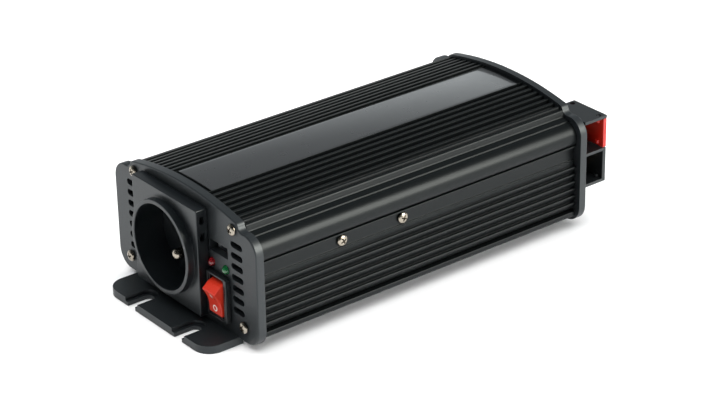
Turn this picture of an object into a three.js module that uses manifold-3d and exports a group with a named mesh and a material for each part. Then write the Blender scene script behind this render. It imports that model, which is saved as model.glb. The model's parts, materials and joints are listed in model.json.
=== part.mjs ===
// A mains power inverter: a finned two-part aluminium casing between two moulded end plates with
// mounting feet, with a type E outlet, USB port, indicators and rocker switch on the front plate,
// and a fan, battery terminals and the power electronics behind it.
//
// Millimetres. +X is to the right of somebody facing the outlet, +Y runs to the rear, +Z is up.
// The origin is on the surface that the feet stand on, under the middle of the casing.

import * as THREE from 'three';
import { mergeVertices } from 'three/addons/utils/BufferGeometryUtils.js';
import Module from 'manifold-3d';

const wasm = await Module();
wasm.setup();

// ---------------------------------------------------------------- driving dimensions

const clearance = 0.3;               // left between pieces that touch or sit inside each other

const casingLength = 185;            // over both end plates
const plateThickness = 4;
const frontFace = -casingLength / 2;
const rearFace = casingLength / 2;
const shellFront = frontFace + plateThickness + clearance;
const shellRear = rearFace - plateThickness - clearance;

// Each section is an arched crown, a narrow ridge, a valley, a round shoulder and a flat side.
const plateSection = {
  halfWidth: 52.6, bottom: 3, baseRadius: 8.5,
  crown: 62.3, crownRadius: 172,
  ridgeX: 37.6, ridgeRadius: 2.5, valleyRadius: 3,
  shoulderZ: 46.3, shoulderRadius: 8,
};
const shellSection = {
  halfWidth: 50, bottom: 6, baseRadius: 2.6,
  crown: 61.2, crownRadius: 171,
  ridgeX: 39.3, ridgeRadius: 1.9, valleyRadius: 4,
  shoulderZ: 45.6, shoulderRadius: 6.4,
};

const fin = { count: 7, first: 13.9, pitch: 3.65, gap: 2.1, depth: 2.4, lastDepth: 1.5 };
const shellWall = 2;
const label = { halfWidth: 12.5, floor: 60, thickness: 0.5, margin: 7 };
const seam = { lip: 42.3, lipX: 49.2, ledge: 42, ledgeThickness: 0.6, tongueTop: 46, tongueX: 47.6 };
const band = { x: 48.2, top: 41.2, bottom: 35, stepX: 48.7, stepBottom: 33.4 };
const rib = { count: 6, first: 30.9, pitch: 3.64, floor: 48.5, crest: 0.5, slope: 2.7 };
const gutter = { x: 46.8, bottom: 8.8 };
const innerSide = 45.6;
const innerFloor = 8.4;
const innerArch = { edgeX: 36, shelfX: 40.2, shelfZ: 50.6 };
const screwBoss = { top: 2.4, base: 3 };

const foot = { thickness: 3.7, reach: 17.5, cornerRadius: 8.2 };
const frontFootHalfWidth = 38.2;
const rearFootHalfWidth = 30;
const slot = { x: 17.8, width: 5.6, centre: 8.7, recessRadius: 4.6, floor: 1.9 };

const topScrew = { x: 36.5, z: 53.9 };
const baseScrew = { x: 42.5, z: 10.3 };
const screw = { shank: 1, hole: 1.3, passage: 1.4, head: 2.65, headHeight: 1.5, length: 12 };
const sideScrew = { z: 37.9, fromFront: [47.6, 80.6], length: 8.6 };

const vent = { x: 38.8, top: 47, pitch: 5.14, count: 7, width: 8.2, height: 2.9 };

const outlet = {
  x: -5.2, z: 32.3, width: 48.2, height: 50, proud: 6,
  collarProud: 3.4, collarRadius: 21.3, boreRadius: 19.4, depth: 15,
  bodyWidth: 42, bodyHeight: 42, bodyRear: 25, wall: 2, floorThickness: 3, coverThickness: 2.5,
  pinPitch: 9.5, contactHole: 2.6, earthOffset: 10, earthRadius: 2.4, earthTip: 9,
};
const contact = { inner: 2.3, outer: 3.3 };
const shutter = { width: 8, height: 28, thickness: 2.2, travel: 6.7 };

const usb = {
  x: 25.8, z: 40.7, width: 13, height: 5.2, depth: 9, wall: 0.35,
  tongueWidth: 10.8, tongueThickness: 1.8, tongueSetback: 1.2,
};
const led = { x: [20.7, 30.7], z: 32.8, radius: 1.9, proud: 1.9, length: 8 };
const frontBoard = { x: [18.2, 43], z: [30.6, 46.5], thickness: 1.6 };

const rocker = {
  x: 26.3, z: 18.9, bezelWidth: 14, bezelHeight: 21, proud: 2.7,
  bodyWidth: 12.8, bodyHeight: 18.9, bodyDepth: 15.5, openingWidth: 9.8, openingHeight: 18.3,
  wellDepth: 7, width: 9, pivotDepth: 2, tilt: 16,
  bladeWidth: 4.8, bladeThickness: 0.8, bladeLength: 6.4, bladeOffset: 3.6,
};

const fan = { x: -13, z: 31.5, size: 40, depth: 15, bore: 19, hub: 8.6, blades: 7, screwPitch: 16 };

const terminal = {
  left: 28.9, right: 50.7, bottom: 19.2, divider: 36.3, top: 52.2, reach: 13.6,
  wall: 2, coverThickness: 1.5, floorThickness: 1.5,
  pegRadius: 1.1, pegHeight: 1.8, pegInset: 3.8, coverHole: 1.3, coverHoleInset: 2.2,
};
const terminalBar = { x: [32, 38.6], halfHeight: 4.5, front: 78, rear: 103, bore: 2.3 };

const board = { bottom: 15.1, thickness: 1.6, halfWidth: 45.2, front: -62, rear: 68 };
const boardTop = board.bottom + board.thickness;
const boardRail = { x: 44.2, thickness: 1.1 };
const transformer = {
  x: -4, y: 14, width: 42, height: 34, depth: 15, leg: 12, windowWidth: 9, windowHeight: 22, coilDepth: 32,
};
const choke = { x: 14, y: -36, radius: 14, bore: 6, height: 12 };
const inputCapacitor = { x: 26, y: [40, 58], radius: 8, height: 30 };
const outputCapacitor = { x: -24, y: -34, radius: 11, height: 32 };
const driverBoard = { x: [-30, 30], y: [-54.8, -53.2], height: 26 };
const fuse = { x: [-30, -11], y: [40, 45], height: 13 };
const transistor = { thickness: 4.4, width: 10, y: [-33.3, -22.5], above: 5 };
const clampBar = { thickness: 4, halfHeight: 4, overhang: 6 };

// ---------------------------------------------------------------- materials

function finish(color, roughness, metalness) {
  return new THREE.MeshStandardMaterial({ color, roughness, metalness });
}

const finishes = {
  anodised: finish(0x1b1e1e, 0.42, 0.75),
  plate: finish(0x3c3f42, 0.6, 0),
  outlet: finish(0x26292b, 0.5, 0),
  label: finish(0x5c5e61, 0.25, 0.2),
  nickel: finish(0xb9ad93, 0.28, 1),
  switchBlack: finish(0x2b2d2f, 0.5, 0),
  switchRed: finish(0xe0402a, 0.35, 0),
  ledRed: finish(0x8a1c24, 0.15, 0),
  ledGreen: finish(0x1c7a3c, 0.15, 0),
  terminalRed: finish(0xe8402c, 0.4, 0),
  terminalBlack: finish(0x1c1e1f, 0.55, 0),
  brass: finish(0xb08d4a, 0.35, 1),
  tin: finish(0xc4c6c8, 0.3, 1),
  fanBlack: finish(0x141516, 0.55, 0),
  circuitBoard: finish(0x1f5a34, 0.6, 0),
  ferrite: finish(0x2c2c2e, 0.7, 0.1),
  copper: finish(0xb5642f, 0.4, 0.9),
  sleeve: finish(0x1f2a44, 0.4, 0),
  moulding: finish(0x17181a, 0.6, 0),
  whiteMoulding: finish(0xdedcd4, 0.5, 0),
  fuse: finish(0x3d9a4a, 0.3, 0),
};

const inverter = new THREE.Group();

function addPiece(name, geometry, material) {
  const mesh = new THREE.Mesh(geometry, material);
  mesh.name = name;
  inverter.add(mesh);
  return mesh;
}

// ---------------------------------------------------------------- outlines

function degrees(angle) {
  return angle * Math.PI / 180;
}

/** Points on an arc, both ends included. Angles are in radians, from the first axis. */
function arc(centreX, centreY, radius, from, to, steps) {
  return Array.from({ length: steps + 1 }, (_, i) => {
    const angle = from + (to - from) * i / steps;
    return new THREE.Vector2(centreX + radius * Math.cos(angle), centreY + radius * Math.sin(angle));
  });
}

function vec(x, y) {
  return new THREE.Vector2(x, y);
}

/** The outline mirrored in the vertical axis and joined to itself, from the crown clockwise. */
function mirrored(rightHalf) {
  const leftHalf = rightHalf.filter((p) => p.x > 1e-6).map((p) => vec(-p.x, p.y)).reverse();
  return rightHalf.concat(leftHalf);
}

function circle(x, y, radius, steps = 16) {
  return arc(x, y, radius, 0, 2 * Math.PI, steps).slice(0, steps);
}

function rectangle(x, y, width, height, radius = 0, steps = 3) {
  if (radius === 0) {
    return [vec(x - width / 2, y - height / 2), vec(x + width / 2, y - height / 2),
      vec(x + width / 2, y + height / 2), vec(x - width / 2, y + height / 2)];
  }
  const dx = width / 2 - radius;
  const dy = height / 2 - radius;
  const corners = [[1, 1, 0], [-1, 1, 90], [-1, -1, 180], [1, -1, 270]];
  return corners.flatMap(([sx, sy, start]) =>
    arc(x + sx * dx, y + sy * dy, radius, degrees(start), degrees(start + 90), steps));
}

/** A slot with full round ends, lying along the first axis. */
function stadium(x, y, width, height, steps = 4) {
  const radius = height / 2;
  const dx = width / 2 - radius;
  return arc(x + dx, y, radius, degrees(-90), degrees(90), steps)
    .concat(arc(x - dx, y, radius, degrees(90), degrees(270), steps));
}

/** Centre of the circle of radius r that touches two other circles from outside, on the right. */
function touchingCentre(a, b, r) {
  const reachA = a.radius + r;
  const reachB = b.radius + r;
  const dx = b.x - a.x;
  const dz = b.z - a.z;
  const span = Math.hypot(dx, dz);
  const along = (span ** 2 + reachA ** 2 - reachB ** 2) / (2 * span);
  const across = Math.sqrt(reachA ** 2 - along ** 2);
  return { x: a.x + (along * dx - across * dz) / span, z: a.z + (along * dz + across * dx) / span };
}

function crownHeight(section, x) {
  return section.crown - section.crownRadius + Math.sqrt(section.crownRadius ** 2 - x ** 2);
}

/** The ridge, valley and shoulder of a section, from the end of the crown to the flat side. */
function shoulderPoints(section, steps) {
  const crownCentre = section.crown - section.crownRadius;
  const inner = section.crownRadius - section.ridgeRadius;
  const ridge = {
    x: section.ridgeX,
    z: crownCentre + Math.sqrt(inner ** 2 - section.ridgeX ** 2),
    radius: section.ridgeRadius,
  };
  const shoulder = {
    x: section.halfWidth - section.shoulderRadius, z: section.shoulderZ, radius: section.shoulderRadius,
  };
  const valley = touchingCentre(ridge, shoulder, section.valleyRadius);
  const crownEnd = Math.atan2(ridge.z - crownCentre, ridge.x);
  const ridgeEnd = Math.atan2(valley.z - ridge.z, valley.x - ridge.x);
  const valleyEnd = Math.atan2(shoulder.z - valley.z, shoulder.x - valley.x);
  return [
    ...arc(ridge.x, ridge.z, ridge.radius, crownEnd, ridgeEnd, steps),
    ...arc(valley.x, valley.z, section.valleyRadius, ridgeEnd - Math.PI, valleyEnd, steps).slice(1),
    ...arc(shoulder.x, shoulder.z, shoulder.radius, valleyEnd + Math.PI, 0, steps + 2).slice(1),
  ];
}

function basePoints(section, steps) {
  const radius = section.baseRadius;
  return arc(section.halfWidth - radius, section.bottom + radius, radius, 0, degrees(-90), steps);
}

// ---------------------------------------------------------------- solids

/** Merges shared corners and drops the flat triangles left where a lathe meets its axis. */
function weld(geometry) {
  const bare = new THREE.BufferGeometry();
  bare.setAttribute('position', geometry.getAttribute('position'));
  bare.setIndex(geometry.getIndex());
  const merged = mergeVertices(bare, 1e-4);
  const index = merged.getIndex().array;
  const kept = [];
  for (let i = 0; i < index.length; i += 3) {
    const [a, b, c] = [index[i], index[i + 1], index[i + 2]];
    if (a !== b && b !== c && c !== a) {
      kept.push(a, b, c);
    }
  }
  merged.setIndex(kept);
  return merged;
}

function solidOf(geometry) {
  const welded = weld(geometry);
  return new wasm.Manifold(new wasm.Mesh({
    numProp: 3,
    vertProperties: new Float32Array(welded.getAttribute('position').array),
    triVerts: new Uint32Array(welded.getIndex().array),
  }));
}

function geometryOf(solid) {
  const mesh = solid.getMesh();
  const geometry = new THREE.BufferGeometry();
  geometry.setAttribute('position', new THREE.BufferAttribute(mesh.vertProperties, 3));
  geometry.setIndex(new THREE.BufferAttribute(mesh.triVerts, 1));
  return geometry;
}

function joined(...geometries) {
  return geometryOf(geometries.map(solidOf).reduce((sum, next) => sum.add(next)));
}

function cut(geometry, ...tools) {
  return geometryOf(tools.map(solidOf).reduce((rest, tool) => rest.subtract(tool), solidOf(geometry)));
}

function prism(outline, depth, axes, offset) {
  const geometry = new THREE.ExtrudeGeometry(new THREE.Shape(outline), { depth, bevelEnabled: false });
  geometry.applyMatrix4(axes);
  geometry.translate(...offset);
  return weld(geometry);
}

const unit = { x: new THREE.Vector3(1, 0, 0), y: new THREE.Vector3(0, 1, 0), z: new THREE.Vector3(0, 0, 1) };
const lyingAlongY = new THREE.Matrix4().makeBasis(unit.x, unit.z, unit.y.clone().negate());
const lyingAlongX = new THREE.Matrix4().makeBasis(unit.y, unit.z, unit.x);

/** An outline in X and Z run along Y. */
function alongY(outline, from, to) {
  return prism(outline, to - from, lyingAlongY, [0, to, 0]);
}

/** An outline in Y and Z run along X. */
function alongX(outline, from, to) {
  return prism(outline, to - from, lyingAlongX, [from, 0, 0]);
}

/** An outline in X and Y run along Z. */
function alongZ(outline, from, to) {
  return prism(outline, to - from, new THREE.Matrix4(), [0, 0, from]);
}

function block(x, y, z) {
  const geometry = new THREE.BoxGeometry(x[1] - x[0], y[1] - y[0], z[1] - z[0]);
  geometry.translate((x[0] + x[1]) / 2, (y[0] + y[1]) / 2, (z[0] + z[1]) / 2);
  return weld(geometry);
}

/** A turned solid about a line along Y; the profile's points are [radius, y], rising in y. */
function turned(profile, x, z, steps = 16) {
  const geometry = new THREE.LatheGeometry(profile.map(([r, y]) => vec(r, y)), steps);
  geometry.translate(x, 0, z);
  return weld(geometry);
}

function range(count) {
  return Array.from({ length: count }, (_, i) => i);
}

// ---------------------------------------------------------------- casing

/** Crown of the upper shell from the label pocket outwards, broken by the cooling gaps. */
function finnedCrown() {
  const points = [vec(0, label.floor)];
  for (const i of range(fin.count)) {
    const centre = fin.first + i * fin.pitch;
    const left = centre - fin.gap / 2;
    const right = centre + fin.gap / 2;
    const leftTop = i === 0 ? label.floor : crownHeight(shellSection, left);
    const depth = i === fin.count - 1 ? fin.lastDepth : fin.depth;
    const floor = crownHeight(shellSection, centre) - depth;
    points.push(vec(left, leftTop), vec(left, floor), vec(right, floor));
    points.push(vec(right, crownHeight(shellSection, right)));
  }
  return points;
}

/** Upper shell: finned crown, ridge, valley, and a shoulder whose side leans in towards its lip. */
function upperShell() {
  const side = shellSection.halfWidth;
  const shoulderX = side - shellSection.shoulderRadius;
  const innerRadius = shellSection.crownRadius - fin.depth - shellWall - 0.8;
  const innerCentre = shellSection.crown - shellSection.crownRadius;
  const innerEdge = Math.acos(innerArch.edgeX / innerRadius);
  const outer = [
    ...finnedCrown(),
    ...shoulderPoints(shellSection, 4),
    vec(seam.lipX, seam.lip),
  ];
  const inner = [
    vec(side - shellWall, seam.lip),
    ...arc(shoulderX, shellSection.shoulderZ, side - shellWall - shoulderX, 0, degrees(75), 4),
    vec(innerArch.shelfX, innerArch.shelfZ),
    ...arc(0, innerCentre, innerRadius, innerEdge, degrees(90), 6),
  ];
  const right = outer.concat(inner);
  const left = right.slice(1, -1).map((p) => vec(-p.x, p.y)).reverse();
  const tube = alongY(right.slice(0, -1).concat([inner.at(-1)], left), shellFront, shellRear);
  const bosses = [-1, 1].map((end) =>
    alongY(circle(end * topScrew.x, topScrew.z, screwBoss.top), shellFront, shellRear));
  return drilledAtEnds(joined(tube, ...bosses), topScrew);
}

/** One side rib: a thin crest, and a face that slopes back from it to the next rib's foot. */
function ribPoints(i) {
  const side = shellSection.halfWidth;
  const crest = rib.first - i * rib.pitch;
  return [
    vec(rib.floor, crest + rib.crest), vec(side, crest + rib.crest), vec(side, crest),
    vec(rib.floor, crest - rib.slope),
  ];
}

const lastRibBottom = rib.first - (rib.count - 1) * rib.pitch - rib.slope;

/** Lower shell: ledge, screw band, fine ribs, a deep groove and a rounded lip on each side. */
function lowerShell() {
  const side = shellSection.halfWidth;
  const outer = [
    vec(innerSide, seam.tongueTop), vec(seam.tongueX, seam.tongueTop), vec(seam.tongueX, seam.ledge),
    vec(side, seam.ledge), vec(side, seam.ledge - seam.ledgeThickness),
    vec(band.x, band.top), vec(band.x, band.bottom),
    vec(band.stepX, band.bottom - 0.2), vec(band.stepX, band.stepBottom),
    ...range(rib.count).flatMap(ribPoints),
    vec(gutter.x, lastRibBottom), vec(gutter.x, gutter.bottom),
    ...basePoints(shellSection, 4),
  ];
  const railBottom = boardTop + clearance;
  const railTop = railBottom + boardRail.thickness;
  const inner = [
    vec(boardRail.x, innerFloor), vec(boardRail.x, board.bottom - clearance),
    vec(innerSide, board.bottom - clearance), vec(innerSide, railBottom),
    vec(boardRail.x, railBottom), vec(boardRail.x, railTop), vec(innerSide, railTop),
  ];
  const left = outer.map((p) => vec(-p.x, p.y)).reverse();
  const leftInner = inner.map((p) => vec(-p.x, p.y));
  const tray = alongY([...outer, ...left, ...leftInner.reverse(), ...inner], shellFront, shellRear);
  const bosses = [-1, 1].map((end) =>
    alongY(circle(end * baseScrew.x, baseScrew.z, screwBoss.base), shellFront, shellRear));
  const drilled = drilledAtEnds(joined(tray, ...bosses), baseScrew);
  const sideHoles = sideScrewPlaces().map(({ side: end, y }) => {
    const hole = alongX(circle(y, sideScrew.z, screw.passage, 12), innerSide - 1, side + 1);
    return end > 0 ? hole : hole.clone().rotateZ(Math.PI).translate(0, 2 * y, 0);
  });
  return cut(drilled, ...sideHoles);
}

/** Screw holes bored into both ends of a pair of full-length bosses. */
function drilledAtEnds(shell, place) {
  const holes = [-1, 1].flatMap((side) => [
    alongY(circle(side * place.x, place.z, screw.hole, 12), shellFront - 1, shellFront + screw.length),
    alongY(circle(side * place.x, place.z, screw.hole, 12), shellRear - screw.length, shellRear + 1),
  ]);
  return cut(shell, ...holes);
}

function sideScrewPlaces() {
  return [1, -1].flatMap((side) => sideScrew.fromFront.map((y) => ({ side, y: frontFace + y })));
}

function nameplate() {
  const { halfWidth, floor, thickness, margin } = label;
  return block(
    [-halfWidth, halfWidth],
    [frontFace + margin, rearFace - margin],
    [floor + clearance, floor + clearance + thickness],
  );
}

// ---------------------------------------------------------------- end plates

function plateOutline() {
  const crownEdge = Math.atan2(
    crownHeight(plateSection, plateSection.ridgeX) - plateSection.crown + plateSection.crownRadius,
    plateSection.ridgeX,
  );
  const crown = arc(0, plateSection.crown - plateSection.crownRadius, plateSection.crownRadius,
    degrees(90), crownEdge, 8);
  return mirrored([
    ...crown.slice(0, -1),
    ...shoulderPoints(plateSection, 4),
    ...basePoints(plateSection, 5),
  ]);
}

/** A foot with two open slots, drawn for the front end: its edge lies towards -Y. */
function footGeometry(halfWidth, face) {
  const edge = face - foot.reach;
  const radius = foot.cornerRadius;
  const outline = [
    vec(halfWidth, face + 1), vec(-halfWidth, face + 1),
    ...arc(-halfWidth + radius, edge + radius, radius, degrees(180), degrees(270), 5),
    ...arc(halfWidth - radius, edge + radius, radius, degrees(270), degrees(360), 5),
  ];
  const slots = [-1, 1].flatMap((side) => {
    const openSlot = (halfSlot) => [
      vec(side * slot.x - halfSlot, edge - 1), vec(side * slot.x + halfSlot, edge - 1),
      ...arc(side * slot.x, face - slot.centre, halfSlot, 0, Math.PI, 8),
    ];
    return [
      alongZ(openSlot(slot.width / 2), -1, foot.thickness + 1),
      alongZ(openSlot(slot.recessRadius), slot.floor, foot.thickness + 1),
    ];
  });
  return cut(alongZ(outline, 0, foot.thickness), ...slots);
}

function cornerScrewPlaces() {
  return [topScrew, baseScrew].flatMap((place) => [-1, 1].map((side) => ({ x: side * place.x, z: place.z })));
}

function frontPlate() {
  const from = frontFace;
  const to = frontFace + plateThickness;
  const through = (outline) => alongY(outline, from - 1, to + 1);
  const vents = [-1, 1].flatMap((side) => range(vent.count).map((i) =>
    through(stadium(side * vent.x, vent.top - i * vent.pitch, vent.width, vent.height))));
  const openings = [
    through(rectangle(outlet.x, outlet.z, outlet.bodyWidth + 0.8, outlet.bodyHeight + 0.8)),
    through(rectangle(usb.x, usb.z, usb.width, usb.height)),
    ...led.x.map((x) => through(circle(x, led.z, led.radius + clearance, 12))),
    through(rectangle(rocker.x, rocker.z, rocker.bodyWidth + 0.6, rocker.bodyHeight + 0.6)),
    ...cornerScrewPlaces().map(({ x, z }) => through(circle(x, z, screw.passage, 12))),
  ];
  const plate = joined(alongY(plateOutline(), from, to), footGeometry(frontFootHalfWidth, from));
  return cut(plate, ...vents, ...openings);
}

/** Two rings of curved slots round a blank hub, interrupted by four spokes. */
function fanGrille(from, to) {
  const spoke = 1.3;
  const rings = [[8.5, 11.5], [13.5, 16.5]];
  return rings.flatMap(([inner, outer]) => range(4).map((quarter) => {
    const trimOuter = Math.asin(spoke / outer);
    const trimInner = Math.asin(spoke / inner);
    const start = degrees(45 + 90 * quarter);
    const end = start + degrees(90);
    const outline = [
      ...arc(fan.x, fan.z, outer, start + trimOuter, end - trimOuter, 6),
      ...arc(fan.x, fan.z, inner, end - trimInner, start + trimInner, 5),
    ];
    return alongY(outline, from, to);
  }));
}

function terminalCentres() {
  return [
    { name: 'positive', z: (terminal.divider + terminal.top - terminal.coverThickness) / 2 },
    { name: 'negative', z: (terminal.bottom + terminal.divider) / 2 },
  ];
}

function rearPlate() {
  const to = rearFace;
  const from = rearFace - plateThickness;
  const through = (outline) => alongY(outline, from - 1, to + 1);
  const holes = [
    ...fanGrille(from - 1, to + 1),
    ...cornerScrewPlaces().map(({ x, z }) => through(circle(x, z, screw.passage, 12))),
    ...fanScrewPlaces().map(({ x, z }) => through(circle(x, z, screw.passage, 12))),
    ...terminalCentres().map(({ z }) => through(rectangle(
      (terminalBar.x[0] + terminalBar.x[1]) / 2, z,
      terminalBar.x[1] - terminalBar.x[0] + 0.8, 2 * terminalBar.halfHeight + 0.8))),
  ];
  const rearFoot = footGeometry(rearFootHalfWidth, -rearFace).clone().rotateZ(Math.PI);
  return cut(joined(alongY(plateOutline(), from, to), rearFoot), ...holes);
}

// ---------------------------------------------------------------- fasteners

/** A pan head screw along +Y, with the underside of its head at y = 0. */
function panScrew(length) {
  const { head, headHeight, shank } = screw;
  return turned([
    [0, -headHeight], [head * 0.55, -headHeight * 0.92], [head * 0.88, -headHeight * 0.6],
    [head, -headHeight * 0.2], [head, 0], [shank, 0], [shank, length - 1], [0, length],
  ], 0, 0, 14);
}

function placeScrew(name, length, position, turn) {
  const mesh = addPiece(name, panScrew(length), finishes.nickel);
  mesh.position.set(...position);
  mesh.rotation.z = turn;
}

function fanScrewPlaces() {
  return [-1, 1].flatMap((up) => [-1, 1].map((side) => (
    { x: fan.x + side * fan.screwPitch, z: fan.z + up * fan.screwPitch })));
}

function addFasteners() {
  cornerScrewPlaces().forEach(({ x, z }, i) => {
    placeScrew(`front_screw_${i + 1}`, 14, [x, frontFace - clearance, z], 0);
    placeScrew(`rear_screw_${i + 1}`, 14, [x, rearFace + clearance, z], Math.PI);
  });
  fanScrewPlaces().forEach(({ x, z }, i) => {
    placeScrew(`fan_screw_${i + 1}`, 14, [x, rearFace + clearance, z], Math.PI);
  });
  sideScrewPlaces().forEach(({ side, y }, i) => {
    const seat = side * (band.x + clearance);
    placeScrew(`side_screw_${i + 1}`, sideScrew.length, [seat, y, sideScrew.z], side * Math.PI / 2);
  });
}

// ---------------------------------------------------------------- type E outlet

const outletFace = frontFace - outlet.proud;
const collarFace = outletFace - outlet.collarProud;
const boreFloor = collarFace + outlet.depth;
const shutterFront = boreFloor + outlet.floorThickness + clearance;
const outletRear = frontFace + outlet.bodyRear;

function contactPlaces() {
  return [-1, 1].map((up) => ({ x: outlet.x, z: outlet.z + up * outlet.pinPitch }));
}

/** Square base, round collar and blind bore, with the wiring space open at the back. */
function outletBody() {
  const { x, z } = outlet;
  const base = alongY(
    rectangle(x, z, outlet.width, outlet.height, 0.5, 1), outletFace, frontFace - clearance);
  const rearBody = alongY(rectangle(x, z, outlet.bodyWidth, outlet.bodyHeight), outletFace + 1, outletRear);
  const collar = turned([
    [0, collarFace], [outlet.collarRadius, collarFace], [outlet.collarRadius, outletFace - 1.5],
    [outlet.collarRadius + 0.5, outletFace - 0.5], [outlet.collarRadius + 1.6, outletFace],
    [outlet.collarRadius + 1.6, outletFace + 1], [0, outletFace + 1],
  ], x, z, 40);
  const bore = alongY(circle(x, z, outlet.boreRadius, 40), collarFace - 1, boreFloor);
  const wiringSpace = alongY(
    rectangle(x, z, outlet.bodyWidth - 2 * outlet.wall, outlet.bodyHeight - 2 * outlet.wall),
    shutterFront - clearance, outletRear + 1);
  const holes = contactPlaces().map((p) =>
    alongY(circle(p.x, p.z, outlet.contactHole, 12), boreFloor - 1, shutterFront));
  const earthHole = alongY(
    circle(x + outlet.earthOffset, z, outlet.earthRadius + clearance, 12), boreFloor - 1, shutterFront);
  return cut(joined(base, rearBody, collar), bore, wiringSpace, ...holes, earthHole);
}

function outletCover() {
  return alongY(
    rectangle(outlet.x, outlet.z, outlet.bodyWidth, outlet.bodyHeight),
    outletRear + clearance, outletRear + clearance + outlet.coverThickness);
}

function earthPin() {
  const tip = frontFace - outlet.earthTip;
  const radius = outlet.earthRadius;
  return turned([
    [0, tip], [radius * 0.6, tip + 0.4], [radius, tip + 1.8], [radius, outletRear - 1], [0, outletRear - 1],
  ], outlet.x + outlet.earthOffset, outlet.z, 16);
}

function contactSleeve(place) {
  const front = shutterFront + shutter.thickness + clearance;
  const rear = outletRear - 0.5;
  const mouth = alongY(circle(place.x, place.z, contact.inner, 12), front - 1, rear - 3);
  return cut(alongY(circle(place.x, place.z, contact.outer, 12), front, rear), mouth);
}

function shutterPlate() {
  return block(
    [outlet.x - shutter.width / 2, outlet.x + shutter.width / 2],
    [shutterFront, shutterFront + shutter.thickness],
    [outlet.z - shutter.height / 2, outlet.z + shutter.height / 2],
  );
}

function addOutlet() {
  addPiece('outlet_body', outletBody(), finishes.outlet);
  addPiece('outlet_back_cover', outletCover(), finishes.outlet);
  addPiece('outlet_earth_pin', earthPin(), finishes.nickel);
  const [neutral, line] = contactPlaces();
  addPiece('outlet_contact_line', contactSleeve(line), finishes.brass);
  addPiece('outlet_contact_neutral', contactSleeve(neutral), finishes.brass);
  addPiece('outlet_shutter', shutterPlate(), finishes.outlet);
}

// ---------------------------------------------------------------- USB port and indicators

const plateInside = frontFace + plateThickness;

function usbShell() {
  const front = plateInside + clearance;
  const rear = front + usb.depth;
  const outer = rectangle(usb.x, usb.z, usb.width, usb.height + 2 * usb.wall, 0.8);
  const inside = rectangle(usb.x, usb.z, usb.width - 2 * usb.wall, usb.height);
  return cut(alongY(outer, front, rear), alongY(inside, front - 1, rear - usb.wall));
}

function usbTongue() {
  return block(
    [usb.x - usb.tongueWidth / 2, usb.x + usb.tongueWidth / 2],
    [plateInside + usb.tongueSetback, plateInside + usb.depth - clearance],
    [usb.z + 0.2, usb.z + 0.2 + usb.tongueThickness],
  );
}

function ledLens(x) {
  const r = led.radius;
  const tip = frontFace - led.proud;
  const rear = frontFace + led.length;
  const dome = range(4).map((i) => {
    const angle = degrees(i * 22.5);
    return [r * Math.sin(angle), tip + r * (1 - Math.cos(angle))];
  });
  return turned([...dome, [r, tip + r], [r, rear], [0, rear]], x, led.z, 16);
}

function addIndicators() {
  addPiece('usb_shell', usbShell(), finishes.tin);
  addPiece('usb_tongue', usbTongue(), finishes.whiteMoulding);
  addPiece('led_red', ledLens(led.x[0]), finishes.ledRed);
  addPiece('led_green', ledLens(led.x[1]), finishes.ledGreen);
  const boardFront = plateInside + clearance + usb.depth + clearance;
  const frontBoardShape = block(
    frontBoard.x, [boardFront, boardFront + frontBoard.thickness], frontBoard.z);
  addPiece('front_board', frontBoardShape, finishes.circuitBoard);
}

// ---------------------------------------------------------------- rocker switch

const bezelFace = frontFace - rocker.proud;
const pivotY = frontFace + rocker.pivotDepth;

function switchHousing() {
  const bezel = alongY(
    rectangle(rocker.x, rocker.z, rocker.bezelWidth, rocker.bezelHeight, 0.6, 1),
    bezelFace, frontFace - clearance);
  const body = alongY(
    rectangle(rocker.x, rocker.z, rocker.bodyWidth, rocker.bodyHeight),
    bezelFace + 1, frontFace + rocker.bodyDepth);
  const well = alongY(
    rectangle(rocker.x, rocker.z, rocker.openingWidth, rocker.openingHeight),
    bezelFace - 1, frontFace + rocker.wellDepth);
  return cut(joined(bezel, body), well);
}

/**
 * The rocker's side view in its own frame: up the key, and outwards from the pivot. The face is a
 * shallow vee, and each end slopes back from its tip. It is tilted with its upper half out, at off.
 */
function rockerKey() {
  const half = [vec(0, 5.9), vec(6.1, 7.3), vec(7.9, 3.6), vec(8.1, -1.5), vec(3, -2.2)];
  const profile = [...half, ...half.slice(1).map((p) => vec(-p.x, p.y)).reverse()];
  const tilt = degrees(rocker.tilt);
  const outline = profile.map((p) => {
    const up = p.x * Math.cos(tilt) - p.y * Math.sin(tilt);
    const out = p.x * Math.sin(tilt) + p.y * Math.cos(tilt);
    return vec(pivotY - out, rocker.z + up);
  });
  return alongX(outline.reverse(), rocker.x - rocker.width / 2, rocker.x + rocker.width / 2);
}

function addSwitch() {
  addPiece('switch_housing', switchHousing(), finishes.switchBlack);
  addPiece('switch_rocker', rockerKey(), finishes.switchRed);
  const rear = frontFace + rocker.bodyDepth + clearance;
  [-1, 1].forEach((up, i) => {
    const centre = rocker.z + up * rocker.bladeOffset;
    const blade = alongY(
      rectangle(rocker.x, centre, rocker.bladeWidth, rocker.bladeThickness),
      rear, rear + rocker.bladeLength);
    addPiece(`switch_blade_${i + 1}`, blade, finishes.tin);
  });
}

// ---------------------------------------------------------------- fan

const fanRear = rearFace - plateThickness - clearance;
const fanFront = fanRear - fan.depth;

function fanFrame() {
  const { x, z, size, bore, hub } = fan;
  const shell = cut(
    alongY(rectangle(x, z, size, size, 2), fanFront, fanRear),
    alongY(circle(x, z, bore, 32), fanFront - 1, fanRear + 1),
    ...fanScrewPlaces().map((p) => alongY(circle(p.x, p.z, screw.hole, 10), fanFront - 1, fanRear + 1)),
  );
  const struts = [45, 135].map((angle) => {
    const bar = block([-bore - 1.5, bore + 1.5], [fanFront, fanFront + 2], [-1.3, 1.3]);
    return bar.rotateY(degrees(angle)).translate(x, 0, z);
  });
  return joined(shell, alongY(circle(x, z, hub, 16), fanFront, fanFront + 2), ...struts);
}

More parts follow.
